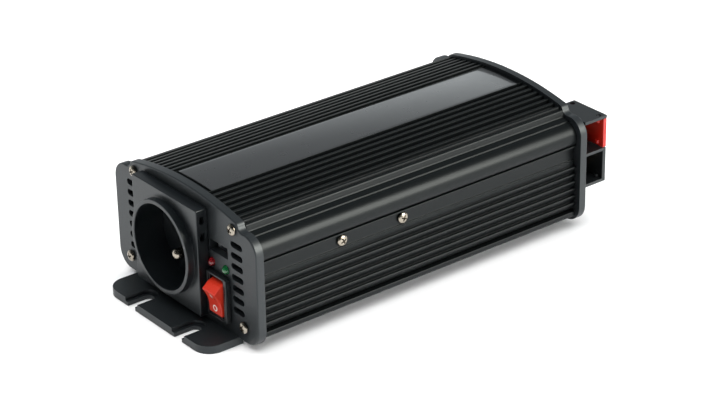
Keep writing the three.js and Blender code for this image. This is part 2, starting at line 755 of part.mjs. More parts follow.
function fanRotor() {
  const front = fanFront + 2.5;
  const rear = fanRear - 0.8;
  const middle = (front + rear) / 2;
  const hub = alongY(circle(0, 0, fan.hub, 20), front, rear);
  const blades = range(fan.blades).map((i) => {
    const blade = block([fan.hub - 1.2, fan.bore - 1], [-0.6, 0.6], [-5, 5]);
    blade.rotateX(degrees(42)).translate(0, middle, 0);
    return blade.rotateY(2 * Math.PI * i / fan.blades);
  });
  return joined(hub, ...blades).clone().translate(fan.x, 0, fan.z);
}

// ---------------------------------------------------------------- battery terminals

const terminalRear = rearFace + terminal.reach;
const terminalFront = rearFace + clearance;

/** A box with walls at the left, rear, top and bottom, open to the right and towards the plate. */
function terminalBox(bottom, top, floors) {
  const { left, right, wall } = terminal;
  const walls = [
    block([left, left + wall], [terminalFront, terminalRear], [bottom, top]),
    block([left, right], [terminalRear - wall, terminalRear], [bottom, top]),
    ...floors.map(([from, to]) => block([left, right], [terminalFront, terminalRear], [from, to])),
  ];
  const pegs = [bottom + 1, top - 1 - terminal.pegHeight].map((z) => alongZ(
    circle(right - terminal.pegInset, terminalRear - wall, terminal.pegRadius, 10),
    z, z + terminal.pegHeight));
  return joined(...walls, ...pegs);
}

/** The flat cover, with a hole for a screw at each rear corner and a relief round a plate screw. */
function terminalCover(underside) {
  const { left, right, top, coverHole, coverHoleInset } = terminal;
  const lid = block([left, right], [terminalFront, terminalRear], [underside, top]);
  const screwRelief = alongY(
    circle(topScrew.x, topScrew.z, screw.head + 0.5, 14), rearFace, rearFace + screw.headHeight + 1);
  const holes = [left + coverHoleInset, right - coverHoleInset].map((x) =>
    alongZ(circle(x, terminalRear - coverHoleInset - 1, coverHole, 12), underside - 1, top + 1));
  return cut(lid, screwRelief, ...holes);
}

function addTerminals() {
  const { left, right, bottom, divider, top, coverThickness, floorThickness } = terminal;
  const coverBottom = top - coverThickness;
  const blackTop = divider - clearance / 2;
  const red = terminalBox(divider + clearance / 2, coverBottom - clearance / 2, []);
  const black = terminalBox(bottom, blackTop, [
    [bottom, bottom + floorThickness], [blackTop - floorThickness, blackTop],
  ]);
  addPiece('terminal_cover', terminalCover(coverBottom + clearance / 2), finishes.terminalBlack);
  addPiece('terminal_box_positive', red, finishes.terminalRed);
  addPiece('terminal_box_negative', black, finishes.terminalBlack);
  const [barLeft, barRight] = terminalBar.x;
  const y = (terminalFront + terminalRear) / 2 - 1;
  for (const { name, z } of terminalCentres()) {
    const bar = block(
      terminalBar.x, [terminalBar.front, terminalBar.rear],
      [z - terminalBar.halfHeight, z + terminalBar.halfHeight]);
    const bore = alongX(circle(y, z, terminalBar.bore, 12), barLeft + 1.5, barRight + 1);
    addPiece(`terminal_bar_${name}`, cut(bar, bore), finishes.brass);
    const bolt = turned([
      [0, -2.6], [3.6, -2.2], [4.2, -1.4], [4.2, 0], [2, 0], [2, 4], [0, 4.6],
    ], 0, 0, 16);
    const mesh = addPiece(`terminal_screw_${name}`, bolt, finishes.nickel);
    mesh.position.set(barRight + clearance, y, z);
    mesh.rotation.z = Math.PI / 2;
  }
}

// ---------------------------------------------------------------- power electronics

const seat = boardTop + clearance;

/** An E-core seen from the front: a frame with a middle leg, its windows filled by the winding. */
function addTransformer() {
  const { x, y, width, height, depth, leg, windowWidth, windowHeight, coilDepth } = transformer;
  const z = seat + height / 2;
  const windowX = (leg + windowWidth) / 2;
  const windows = [-1, 1].map((side) => alongY(
    rectangle(x + side * windowX, z, windowWidth, windowHeight), y - depth, y + depth));
  const core = alongY(rectangle(x, z, width, height), y - depth / 2, y + depth / 2);
  addPiece('transformer_core', cut(core, ...windows), finishes.ferrite);
  const coilWidth = leg + 2 * windowWidth - 2 * clearance - 0.2;
  const halfCoil = windowHeight / 2 - clearance - 0.1;
  const coil = alongZ(rectangle(x, y, coilWidth, coilDepth, 4), z - halfCoil, z + halfCoil);
  const middleLeg = alongZ(
    rectangle(x, y, leg + 2 * clearance, depth + 2 * clearance), z - height / 2, z + height / 2);
  addPiece('transformer_winding', cut(coil, middleLeg), finishes.copper);
}

function addCapacitor(name, x, y, { radius, height }) {
  addPiece(name, alongZ(circle(x, y, radius, 20), seat, seat + height), finishes.sleeve);
}

function toroid() {
  return cut(
    alongZ(circle(choke.x, choke.y, choke.radius, 24), seat, seat + choke.height),
    alongZ(circle(choke.x, choke.y, choke.bore, 16), seat - 1, seat + choke.height + 1));
}

/** Transistors held flat against the inside of each side wall by a bar and the two side screws. */
function addTransistors() {
  const { thickness, width, above } = transistor;
  const { halfHeight, overhang } = clampBar;
  const backX = innerSide - clearance;
  const barX = backX - thickness - clearance;
  const screwYs = sideScrew.fromFront.map((fromFront) => frontFace + fromFront);
  const barShape = block(
    [barX - clampBar.thickness, barX],
    [screwYs[0] - overhang, screwYs[1] + overhang],
    [sideScrew.z - halfHeight, sideScrew.z + halfHeight]);
  const holes = screwYs.map((y) =>
    alongX(circle(y, sideScrew.z, screw.hole, 12), barX - clampBar.thickness - 1, barX + 1));
  const clamp = cut(barShape, ...holes);
  addPiece('clamp_bar_right', clamp, finishes.tin);
  addPiece('clamp_bar_left', mirroredInX(clamp), finishes.tin);
  transistor.y.forEach((y, i) => {
    const moulding = block(
      [backX - thickness, backX],
      [y - width / 2, y + width / 2],
      [boardTop + above, sideScrew.z + 3]);
    addPiece(`transistor_right_${i + 1}`, moulding, finishes.moulding);
    addPiece(`transistor_left_${i + 1}`, mirroredInX(moulding), finishes.moulding);
  });
}

function mirroredInX(geometry) {
  return geometryOf(solidOf(geometry).mirror([1, 0, 0]));
}

function addElectronics() {
  const mainBoard = block(
    [-board.halfWidth, board.halfWidth], [board.front, board.rear], [board.bottom, boardTop]);
  addPiece('main_board', mainBoard, finishes.circuitBoard);
  addTransformer();
  addTransistors();
  inputCapacitor.y.forEach((y, i) => {
    addCapacitor(`input_capacitor_${i + 1}`, inputCapacitor.x, y, inputCapacitor);
  });
  addCapacitor('output_capacitor', outputCapacitor.x, outputCapacitor.y, outputCapacitor);
  addPiece('output_choke', toroid(), finishes.copper);
  const driver = block(driverBoard.x, driverBoard.y, [seat, seat + driverBoard.height]);
  addPiece('driver_board', driver, finishes.circuitBoard);
  addPiece('fuse', block(fuse.x, fuse.y, [seat, seat + fuse.height]), finishes.fuse);
}

// ---------------------------------------------------------------- assembly

addPiece('upper_shell', upperShell(), finishes.anodised);
addPiece('lower_shell', lowerShell(), finishes.anodised);
addPiece('nameplate', nameplate(), finishes.label);
addPiece('front_plate', frontPlate(), finishes.plate);
addPiece('rear_plate', rearPlate(), finishes.plate);
addFasteners();
addOutlet();
addIndicators();
addSwitch();
addPiece('fan_frame', fanFrame(), finishes.fanBlack);
addPiece('fan_rotor', fanRotor(), finishes.fanBlack);
addTerminals();
addElectronics();

export default inverter;
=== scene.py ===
"""The looks of a small power inverter: finned casing, end plates with feet, outlet, switch and terminals.

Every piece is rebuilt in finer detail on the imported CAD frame, or keeps its CAD node and gets a material.
Outlines and sizes are in millimetres, like the CAD source, and become metres as each mesh is made.
+X is to the right of somebody facing the outlet, +Y runs to the rear and +Z is up.
"""

import json
import math

import bmesh
import bpy
from mathutils import Matrix, Vector


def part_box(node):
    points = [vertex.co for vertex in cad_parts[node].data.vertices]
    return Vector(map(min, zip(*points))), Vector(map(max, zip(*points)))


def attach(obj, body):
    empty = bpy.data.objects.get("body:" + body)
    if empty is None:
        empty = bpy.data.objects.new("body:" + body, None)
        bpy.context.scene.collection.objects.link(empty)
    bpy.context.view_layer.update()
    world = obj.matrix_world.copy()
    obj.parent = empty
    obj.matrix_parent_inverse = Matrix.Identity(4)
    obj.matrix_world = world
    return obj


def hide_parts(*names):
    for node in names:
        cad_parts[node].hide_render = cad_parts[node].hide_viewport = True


MM = 0.001

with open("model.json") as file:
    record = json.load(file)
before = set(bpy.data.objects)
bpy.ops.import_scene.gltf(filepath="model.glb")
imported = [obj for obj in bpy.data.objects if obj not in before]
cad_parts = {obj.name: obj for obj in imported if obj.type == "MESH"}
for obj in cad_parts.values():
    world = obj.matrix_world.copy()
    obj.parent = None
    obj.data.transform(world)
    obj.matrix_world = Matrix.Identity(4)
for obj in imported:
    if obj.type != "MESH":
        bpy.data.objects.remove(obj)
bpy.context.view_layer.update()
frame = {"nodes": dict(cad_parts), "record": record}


def extent(node):
    """The lowest and highest corner of a CAD node, in millimetres."""
    low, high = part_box(node)
    return Vector(low) / MM, Vector(high) / MM


def centre(node):
    low, high = extent(node)
    return (low + high) / 2


# ---------------------------------------------------------------- driving dimensions, in millimetres

PLATE_THICKNESS = 4.0
FRONT_FACE = extent("front_plate")[1].y - PLATE_THICKNESS
REAR_FACE = extent("rear_plate")[0].y + PLATE_THICKNESS
SHELL_FRONT = extent("upper_shell")[0].y
SHELL_REAR = extent("upper_shell")[1].y
SEAM = extent("upper_shell")[0].z
HALF_SHELL = extent("upper_shell")[1].x
CLEARANCE = 0.3
TINY = 1e-6

FIN_COUNT = 7
FIN_FIRST = 13.9
FIN_PITCH = 3.65
FIN_GAP = 2.3
FIN_DEPTH = 2.4
LAST_FIN_DEPTH = 1.5
CROWN = 61.2
CROWN_RADIUS = 171
LABEL_HALF = 12.5
LABEL_FLOOR = 60.0
LABEL_BOW = 0.25
SHELL_SHOULDER_Z = 45.6
SHELL_SHOULDER_RADIUS = 6.4
SHELL_WALL = 2.0

LEDGE_TOP = 42.0
LEDGE_BOTTOM = 41.4
TONGUE_X = 47.6
BAND_X = 48.2
BAND_TOP = 41.2
BAND_BOTTOM = 35.0
BAND_STEP_X = 48.7
BAND_STEP_BOTTOM = 33.4
RIB_COUNT = 6
RIB_FIRST = 30.9
RIB_PITCH = 3.64
RIB_FLOOR = 48.5
RIB_LAND = 0.7
RIB_SLOPE = 2.7
GROOVE_X = 46.8
GROOVE_BOTTOM = 8.8
INNER_SIDE = 45.6
INNER_FLOOR = 8.4
RAIL_X = 44.2
RAIL_THICKNESS = 1.1

PLATE_HALF = extent("front_plate")[1].x
PLATE_CROWN = extent("front_plate")[1].z
PLATE_CROWN_RADIUS = 172
PLATE_SHOULDER = {"ridge_x": 37.6, "ridge_radius": 2.5, "valley_radius": 3.0, "z": 46.3, "radius": 8.0}
PLATE_BOTTOM = 3.0
PLATE_BASE_RADIUS = 8.3
PLATE_RIM = 0.6
THROUGH = 8.0

VENT_X = 38.8
VENT_TOP = 47.0
VENT_PITCH = 5.14
VENT_COUNT = 7
VENT_WIDTH = 8.2
VENT_HEIGHT = 2.9
VENT_CORNER = 1.4
GRILLE_RINGS = ((8.5, 11.5), (13.5, 16.5))
GRILLE_HALF_SPOKE = 1.3

FRONT_FOOT_HALF = 38.2
REAR_FOOT_HALF = 30.0
FOOT_THICKNESS = 3.7
FOOT_REACH = 17.5
FOOT_ROOT = 2.0
FOOT_CORNER = 8.2
SLOT_X = 17.8
SLOT_WIDTH = 5.6
SLOT_CENTRE = 8.7
SLOT_RECESS = 4.6
SLOT_FLOOR = 1.9

HEAD_RADIUS = 2.65
HEAD_HEIGHT = 1.5
HEAD_RIM = 0.35
SHANK_RADIUS = 1.0
THREAD_ROOT = 0.8
THREAD_PITCH = 0.5
SCREW_TIP = 1.2
SCREW_PASSAGE = 1.4
PLATE_SCREW_LENGTH = 14.0
SIDE_SCREW_LENGTH = 8.6
PHILLIPS_REACH = 1.55
PHILLIPS_HALF_WIDTH = 0.36
PHILLIPS_DEPTH = 1.6

OUTLET_WIDTH = 48.2
OUTLET_HEIGHT = 50.0
OUTLET_BODY = 42.0
OUTLET_OPENING = 42.8
WIRING_SPACE = 38.0
COLLAR_RADIUS = 21.3
COLLAR_PROUD = 3.4
BORE_RADIUS = 19.4
BORE_DEPTH = 15.0
OUTLET_FLOOR_THICKNESS = 3.0
NOTCH_OFFSETS = (12.2, 20.0)
NOTCH_HALF_HEIGHT = 1.8
CONTACT_HOLE = 2.6
CONTACT_HOLE_MOUTH = 3.4
PIN_RADIUS = 2.4
PIN_HOLE = 2.7
PIN_DOME = 1.9

USB_WIDTH = 13.0
USB_HEIGHT = 5.2
USB_WALL = 0.35
USB_CARRIER = 1.4
LENS_HOLE = 2.15

BEZEL_WIDTH = 14.0
BEZEL_HEIGHT = 21.0
SWITCH_BODY_WIDTH = 12.8
SWITCH_BODY_HEIGHT = 18.9
SWITCH_OPENING_WIDTH = 13.4
SWITCH_OPENING_HEIGHT = 19.5
WELL_WIDTH = 9.8
WELL_HEIGHT = 18.3
WELL_DEPTH = 7.0
LEAD_IN = 1.0
ROCKER_TILT = math.radians(16)
ROCKER_MIDDLE_OUT = 5.9
ROCKER_END_OUT = 7.3
ROCKER_END_UP = 6.1
MARK_UP = 3.3
MARK_HALF_DEPTH = 0.05

TERMINAL_WALL = 2.0
TERMINAL_FLOOR = 1.5
TERMINAL_ROOF = 1.45
PEG_RADIUS = 1.1
PEG_HEIGHT = 1.8
PEG_INSET = 3.8
BOLT_HEAD_RADIUS = 4.2
BOLT_HEAD_HEIGHT = 2.6
BOLT_SHANK = 2.0
BOLT_SLOT_DEPTH = 1.3
BOLT_SLOT_HALF_WIDTH = 0.6

SOFT_EDGE = 0.12
SMOOTH_ANGLE = 38

CAMERA_AZIMUTH = 52.22
CAMERA_ELEVATION = 26.55
CAMERA_ROLL = math.radians(1.10)
CAMERA_DISTANCE = 1098.2
CAMERA_SHIFT = (4.07, -3.67)
CAMERA_AIM = Vector((0, -2.4, 27))
LENS_MM = 122.5
SENSOR_MM = 36
WARM_WHITE = (1.0, 0.97, 0.89)
BACKDROP_DIRECTION = (-0.788, 0.616, 0)
FLOOR_REACH = 30000


# ---------------------------------------------------------------- outlines


def arc(x, z, radius, start, end, steps):
    """Points on an arc, both ends included, with the angles in degrees."""
    turn = [math.radians(start + (end - start) * i / steps) for i in range(steps + 1)]
    return [(x + radius * math.cos(a), z + radius * math.sin(a)) for a in turn]


def circle(x, z, radius, steps=32):
    return arc(x, z, radius, 0, 360, steps)[:-1]


def filleted(corners, steps=4):
    """The closed outline through (x, z, radius) corners, with each corner rounded to its radius."""
    points = []
    for i, (x, z, radius) in enumerate(corners):
        here = Vector((x, z))
        to_last = Vector(corners[i - 1][:2]) - here
        to_next = Vector(corners[(i + 1) % len(corners)][:2]) - here
        half = to_last.angle(to_next) / 2
        if radius <= 0 or half > math.radians(89):
            points.append((x, z))
            continue
        reach = min(radius / math.tan(half), to_last.length * 0.49, to_next.length * 0.49)
        radius = reach * math.tan(half)
        middle = here + (to_last.normalized() + to_next.normalized()).normalized() * (radius / math.sin(half))
        start = here + to_last.normalized() * reach - middle
        sweep = start.angle_signed(here + to_next.normalized() * reach - middle)
        for k in range(steps + 1):
            spoke = start.copy()
            spoke.rotate(Matrix.Rotation(-sweep * k / steps, 2))
            points.append(tuple(middle + spoke))
    return points


def rounded_rectangle(x, z, width, height, radius, steps=5):
    left, right = x - width / 2, x + width / 2
    bottom, top = z - height / 2, z + height / 2
    corners = [(left, bottom), (right, bottom), (right, top), (left, top)]
    return filleted([(*corner, radius) for corner in corners], steps)


def mirrored(half):
    """A closed outline from its right half, which runs from the top to the bottom of the middle line."""
    left = [(-x, z, *rest) for x, z, *rest in reversed(half) if x > TINY]
    return half + left


def crown(radius, top, x):
    return top - radius + math.sqrt(radius**2 - x**2)


def touching_centre(first, first_radius, second, second_radius, radius):
    """The centre of a hollow that touches two round edges from above."""
    first_reach, second_reach = first_radius + radius, second_radius + radius
    apart = second - first
    along = (first_reach**2 - second_reach**2 + apart.length_squared) / (2 * apart.length)
    away = math.sqrt(first_reach**2 - along**2)
    ahead = apart.normalized()
    return first + ahead * along + Vector((-ahead.y, ahead.x)) * away


def shoulder_points(shoulder, half_width, crown_top, crown_radius, steps=8):
    """The ridge at the crown's edge, the hollow beside it and the round shoulder, down to the flat side."""
    crown_centre = Vector((0, crown_top - crown_radius))
    ridge_radius, valley_radius = shoulder["ridge_radius"], shoulder["valley_radius"]
    rise = math.sqrt((crown_radius - ridge_radius) ** 2 - shoulder["ridge_x"] ** 2)
    ridge = Vector((shoulder["ridge_x"], crown_centre.y + rise))
    rounded = Vector((half_width - shoulder["radius"], shoulder["z"]))
    valley = touching_centre(ridge, ridge_radius, rounded, shoulder["radius"], valley_radius)

    def heading(start, end):
        return math.degrees(math.atan2(end.y - start.y, end.x - start.x))

    to_valley, to_shoulder = heading(ridge, valley), heading(valley, rounded)
    points = arc(ridge.x, ridge.y, ridge_radius, heading(crown_centre, ridge), to_valley, steps)
    points += arc(valley.x, valley.y, valley_radius, to_valley - 180, to_shoulder, steps)[1:]
    points += arc(rounded.x, rounded.y, shoulder["radius"], to_shoulder + 180, 0, 2 * steps)[1:]
    return [(x, z, 0) for x, z in points]


# ---------------------------------------------------------------- meshes

# Each maps an outline's two axes and its depth to X, Y and Z.
ALONG_Y = Matrix(((1, 0, 0), (0, 0, 1), (0, 1, 0)))
ALONG_X = Matrix(((0, 0, 1), (1, 0, 0), (0, 1, 0)))
ALONG_Z = Matrix(((1, 0, 0), (0, 1, 0), (0, 0, 1)))


def smoothed(obj, angle=SMOOTH_ANGLE):
    """Shades the faces smooth, except across edges sharper than the angle in degrees."""
    obj.data.shade_smooth()
    obj.data.set_sharp_from_angle(angle=math.radians(angle))
    return obj


def finished_object(name, build):
    """An object from a bmesh in millimetres, with outward normals and smooth curved faces."""
    bmesh.ops.recalc_face_normals(build, faces=build.faces)
    bmesh.ops.scale(build, vec=(MM, MM, MM), verts=build.verts)
    mesh = bpy.data.meshes.new(name)
    build.to_mesh(mesh)
    build.free()
    made = bpy.data.objects.new(name, mesh)
    bpy.context.scene.collection.objects.link(made)
    return smoothed(made, 35)


def prism(name, outline, low, high, axes=ALONG_Y):
    """A closed outline carried from low to high along the axis that the outline doesn't use."""
    build = bmesh.new()
    ends = []
    for depth in (low, high):
        ends.append([build.verts.new(axes @ Vector((a, b, depth))) for a, b in outline])
    build.faces.new(ends[0])
    build.faces.new(reversed(ends[1]))
    for i in range(len(outline)):
        after = (i + 1) % len(outline)
        build.faces.new((ends[0][i], ends[0][after], ends[1][after], ends[1][i]))
    return finished_object(name, build)


def turned(name, profile, origin=(0, 0, 0), steps=48, axes=ALONG_Y):
    """A lathe solid about the depth axis through origin. The profile's points are (radius, depth)."""
    build = bmesh.new()
    rings = []
    for radius, depth in profile:
        if radius < TINY:
            rings.append([build.verts.new(axes @ Vector((0, 0, depth)) + Vector(origin))] * steps)
            continue
        spots = circle(0, 0, radius, steps)
        rings.append([build.verts.new(axes @ Vector((a, b, depth)) + Vector(origin)) for a, b in spots])
    for ring, onward in zip(rings, rings[1:]):
        for i in range(steps):
            after = (i + 1) % steps
            corners = [ring[i], ring[after], onward[after], onward[i]]
            build.faces.new(list(dict.fromkeys(corners)))
    return finished_object(name, build)


def block(name, low, high):
    """A box between two corners, to be softened or carved before it is shown."""
    corners = [(low[0], low[1]), (high[0], low[1]), (high[0], high[1]), (low[0], high[1])]
    return prism(name, corners, low[2], high[2], ALONG_Z)


def applied(obj):
    """Makes the object's modifiers part of its mesh."""
    depsgraph = bpy.context.evaluated_depsgraph_get()
    mesh = bpy.data.meshes.new_from_object(obj.evaluated_get(depsgraph))
    obj.modifiers.clear()
    obj.data = mesh
    return obj


def combined(obj, tools, operation):
    for tool in tools:
        change = obj.modifiers.new(operation.lower(), "BOOLEAN")
        change.operation = operation
        change.object = tool
        change.solver = "EXACT"
    applied(obj)
    for tool in tools:
        bpy.data.objects.remove(tool)
    return obj


def carved(obj, *tools):
    return combined(obj, tools, "DIFFERENCE")


def fused(obj, *others):
    return combined(obj, others, "UNION")


def softened(obj, width, segments=3, angle=40):
    """Rounds every edge sharper than the angle to a radius in millimetres."""
    bevel = obj.modifiers.new("edges", "BEVEL")
    bevel.width = width * MM
    bevel.segments = segments
    bevel.limit_method = "ANGLE"
    bevel.angle_limit = math.radians(angle)
    bevel.use_clamp_overlap = True
    bevel.harden_normals = False
    return smoothed(applied(obj))


def flattened(obj):
    """Keeps big flat faces flat in shading, next to the rounded edges round them."""
    weighting = obj.modifiers.new("flat_faces", "WEIGHTED_NORMAL")
    weighting.keep_sharp = True
    return obj


def show(obj, finish, body, *nodes):
    """Gives a piece its material and body, and lets it stand for its CAD nodes."""
    obj.data.materials.clear()
    obj.data.materials.append(finish)
    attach(obj, body)
    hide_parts(*nodes)
    return obj


# ---------------------------------------------------------------- materials


def new_material(name, roughness, metallic=0.0, **sockets):
    """A principled material and its node tree, with the sockets that are the same all over set."""
    material = bpy.data.materials.new(name)
    material.use_nodes = True
    shader = material.node_tree.nodes["Principled BSDF"]
    shader.inputs["Roughness"].default_value = roughness
    shader.inputs["Metallic"].default_value = metallic
    for socket, value in sockets.items():
        shader.inputs[socket.replace("_", " ")].default_value = value
    return material, material.node_tree, shader


def noise(tree, scale, detail=2.0, stretch=(1, 1, 1)):
    """Noise over the object's own space; scale is in features per metre along each axis."""
    nodes, links = tree.nodes, tree.links
    place = nodes.new("ShaderNodeTexCoord")
    mapping = nodes.new("ShaderNodeMapping")
    mapping.inputs["Scale"].default_value = stretch
    texture = nodes.new("ShaderNodeTexNoise")
    texture.inputs["Scale"].default_value = scale
    texture.inputs["Detail"].default_value = detail
    links.new(place.outputs["Object"], mapping.inputs["Vector"])
    links.new(mapping.outputs["Vector"], texture.inputs["Vector"])
    return texture.outputs["Fac"]


def blend_colours(tree, factor, first, second, target):
    mix = tree.nodes.new("ShaderNodeMix")
    mix.data_type = "RGBA"
    mix.inputs[6].default_value = (*first, 1)
    mix.inputs[7].default_value = (*second, 1)
    tree.links.new(factor, mix.inputs[0])
    tree.links.new(mix.outputs[2], target)


def spread(tree, factor, low, high, target):
    remap = tree.nodes.new("ShaderNodeMapRange")
    remap.inputs["To Min"].default_value = low
    remap.inputs["To Max"].default_value = high
    tree.links.new(factor, remap.inputs["Value"])
    tree.links.new(remap.outputs["Result"], target)


def relief(tree, shader, height, depth):
    """Bump from a height between 0 and 1, with its depth in millimetres."""
    bump = tree.nodes.new("ShaderNodeBump")
    bump.inputs["Strength"].default_value = 1.0
    bump.inputs["Distance"].default_value = depth * MM
    tree.links.new(height, bump.inputs["Height"])
    tree.links.new(bump.outputs["Normal"], shader.inputs["Normal"])


COOL_SHEEN = (0.90, 0.97, 1.0, 1.0)


def anodised_aluminium():
    """Black anodised extrusion, with faint die lines along its length."""
    material, tree, shader = new_material(
        "anodised_aluminium", 0.36, Specular_IOR_Level=0.2, Specular_Tint=COOL_SHEEN
    )
    die_lines = noise(tree, 1.0, 3.0, (2600, 14, 2600))
    clouds = noise(tree, 60, 3.0)
    dark, light = (0.0022, 0.0029, 0.0031), (0.0040, 0.0050, 0.0052)
    blend_colours(tree, clouds, dark, light, shader.inputs["Base Color"])
    spread(tree, die_lines, 0.30, 0.40, shader.inputs["Roughness"])
    relief(tree, shader, die_lines, 0.004)
    return material


def moulded_plastic(name, dark, light, roughness, grain=1800, depth=0.01, sheen=0.5):
    """Injection moulded plastic with a fine spark-eroded grain."""
    material, tree, shader = new_material(name, roughness, Specular_IOR_Level=sheen, Specular_Tint=COOL_SHEEN)
    texture = noise(tree, grain, 2.0)
    clouds = noise(tree, 45, 2.0)
    blend_colours(tree, clouds, dark, light, shader.inputs["Base Color"])
    spread(tree, texture, roughness - 0.06, roughness + 0.06, shader.inputs["Roughness"])
    relief(tree, shader, texture, depth)
    return material


def glossy_plate():
    """Graphite printed film under a clear gloss."""
    material, tree, shader = new_material("glossy_plate", 0.3, 0.2, Coat_Weight=1.0, Coat_Roughness=0.06)
    flakes = noise(tree, 1400, 1.0)
    blend_colours(tree, flakes, (0.030, 0.032, 0.034), (0.033, 0.035, 0.037), shader.inputs["Base Color"])
    spread(tree, noise(tree, 150, 2.0), 0.24, 0.34, shader.inputs["Roughness"])
    return material


def plated_metal(name, dark, light, roughness, scratches=900):
    """Plated or machined metal with fine tool marks."""
    material, tree, shader = new_material(name, roughness, 1.0)
    marks = noise(tree, scratches, 4.0)
    blend_colours(tree, noise(tree, 320, 2.0), dark, light, shader.inputs["Base Color"])
    spread(tree, marks, roughness - 0.08, roughness + 0.1, shader.inputs["Roughness"])
    relief(tree, shader, marks, 0.004)
    return material


def tinted_lens(name, deep, bright):
    material, tree, shader = new_material(
        name, 0.08, Transmission_Weight=0.35, IOR=1.5, Coat_Weight=0.5, Coat_Roughness=0.03
    )
    blend_colours(tree, noise(tree, 500, 2.0), deep, bright, shader.inputs["Base Color"])
    return material


def circuit_board_mask():
    material, tree, shader = new_material("circuit_board_mask", 0.4)
    dark, light = (0.008, 0.075, 0.028), (0.014, 0.12, 0.045)
    blend_colours(tree, noise(tree, 420, 1.0), dark, light, shader.inputs["Base Color"])
    relief(tree, shader, noise(tree, 700, 1.0), 0.01)
    return material


ANODISED = anodised_aluminium()
PLATE = moulded_plastic("plate_plastic", (0.009, 0.011, 0.012), (0.012, 0.014, 0.016), 0.42)
OUTLET = moulded_plastic("outlet_plastic", (0.0035, 0.0045, 0.0055), (0.006, 0.0075, 0.0085), 0.34)
BLACK_PLASTIC = moulded_plastic("black_plastic", (0.006, 0.007, 0.008), (0.010, 0.011, 0.012), 0.4)
TERMINAL_BLACK = moulded_plastic("terminal_black_plastic", (0.004, 0.005, 0.006), (0.007, 0.008, 0.009), 0.38)
TERMINAL_RED = moulded_plastic(
    "terminal_red_plastic", (0.42, 0.010, 0.005), (0.50, 0.016, 0.007), 0.32, 1200, 0.004
)
ROCKER_RED = moulded_plastic(
    "rocker_red_plastic", (0.55, 0.028, 0.011), (0.61, 0.034, 0.015), 0.3, 900, 0.001
)
WHITE_PLASTIC = moulded_plastic("white_plastic", (0.74, 0.73, 0.68), (0.80, 0.79, 0.74), 0.4, 900, 0.002)
LABEL = glossy_plate()
NICKEL = plated_metal("nickel_plate", (0.30, 0.27, 0.22), (0.40, 0.36, 0.30), 0.24)
BRASS = plated_metal("brass", (0.48, 0.31, 0.10), (0.58, 0.40, 0.16), 0.3)
TIN = plated_metal("tinned_steel", (0.52, 0.53, 0.54), (0.62, 0.63, 0.64), 0.3)
POLISHED = plated_metal("polished_steel", (0.74, 0.74, 0.72), (0.82, 0.82, 0.80), 0.16)
COPPER = plated_metal("copper_wire", (0.42, 0.12, 0.035), (0.55, 0.19, 0.06), 0.35)
LED_RED = tinted_lens("red_lens", (0.20, 0.006, 0.010), (0.26, 0.01, 0.014))
LED_GREEN = tinted_lens("green_lens", (0.004, 0.11, 0.03), (0.007, 0.15, 0.04))
SLEEVE = moulded_plastic("capacitor_sleeve", (0.010, 0.018, 0.05), (0.014, 0.025, 0.07), 0.3, 600, 0.004)
FERRITE = moulded_plastic("ferrite", (0.020, 0.020, 0.022), (0.034, 0.034, 0.036), 0.55, 1400, 0.02)
FUSE = moulded_plastic("fuse_plastic", (0.03, 0.28, 0.06), (0.05, 0.36, 0.08), 0.25, 500, 0.003)
BOARD = circuit_board_mask()


# ---------------------------------------------------------------- casing


def crown_corners():
    """The finned crown from the middle to its last fin, as corners with their edge radii."""
    corners = [(0, LABEL_FLOOR, 0), (LABEL_HALF + 0.1, LABEL_FLOOR, 0.1)]
    corners.append((LABEL_HALF + 0.1, crown(CROWN_RADIUS, CROWN, LABEL_HALF), 0.15))
    for i in range(FIN_COUNT):
        middle = FIN_FIRST + i * FIN_PITCH
        depth = LAST_FIN_DEPTH if i == FIN_COUNT - 1 else FIN_DEPTH
        left, right = middle - FIN_GAP / 2, middle + FIN_GAP / 2
        floor = crown(CROWN_RADIUS, CROWN, middle) - depth
        corners.append((left, crown(CROWN_RADIUS, CROWN, left), 0.15))
        corners += [(left, floor, 0.3), (right, floor, 0.3)]
        corners.append((right, crown(CROWN_RADIUS, CROWN, right), 0.15))
    return corners


def upper_shell():
    """Crown, narrow ridge, valley with two fine score lines, and the round shoulder down to the seam."""
    side = HALF_SHELL
    inner_side = side - SHELL_WALL
    ridge = [
        (38.0, 57.0, 0.3), (38.3, 55.6, 0.2), (38.9, 55.5, 0.2), (39.2, 56.5, 0.5), (40.4, 56.1, 0.9),
    ]
    valley = [
        (41.1, 53.6, 0.15), (41.3, 53.1, 0.05), (41.5, 53.3, 0.1), (44.3, 52.35, 0.1), (44.5, 51.75, 0.05),
    ]
    shoulder = arc(side - SHELL_SHOULDER_RADIUS, SHELL_SHOULDER_Z, SHELL_SHOULDER_RADIUS, 78, 0, 18)
    lip = [(side, SEAM + 1.2, 0), (side - 0.8, SEAM, 0.3), (inner_side, SEAM, 0.1)]
    inside = [(inner_side, 50.2, 4), (40.2, 50.6, 1), (36, 52.4, 0.5), (18, 54.9, 0), (0, 55.8, 0)]
    half = crown_corners() + ridge + valley + [(x, z, 0) for x, z in shoulder] + lip + inside
    form = prism("upper_shell_form", filleted(mirrored(half), 10), SHELL_FRONT, SHELL_REAR)
    return show(form, ANODISED, "casing", "upper_shell")


def rail_corners():
    """The inside of the lower shell at one side: its floor, and the two rails that hold the main board."""
    board_low, board_high = extent("main_board")
    slot_bottom, slot_top = board_low.z - CLEARANCE, board_high.z + CLEARANCE
    rail_top = slot_top + RAIL_THICKNESS
    return [
        (0, INNER_FLOOR, 0), (RAIL_X, INNER_FLOOR, 0.3),
        (RAIL_X, slot_bottom, 0.1), (INNER_SIDE, slot_bottom, 0.1),
        (INNER_SIDE, slot_top, 0.1), (RAIL_X, slot_top, 0.1),
        (RAIL_X, rail_top, 0.1), (INNER_SIDE, rail_top, 0.2),
    ]


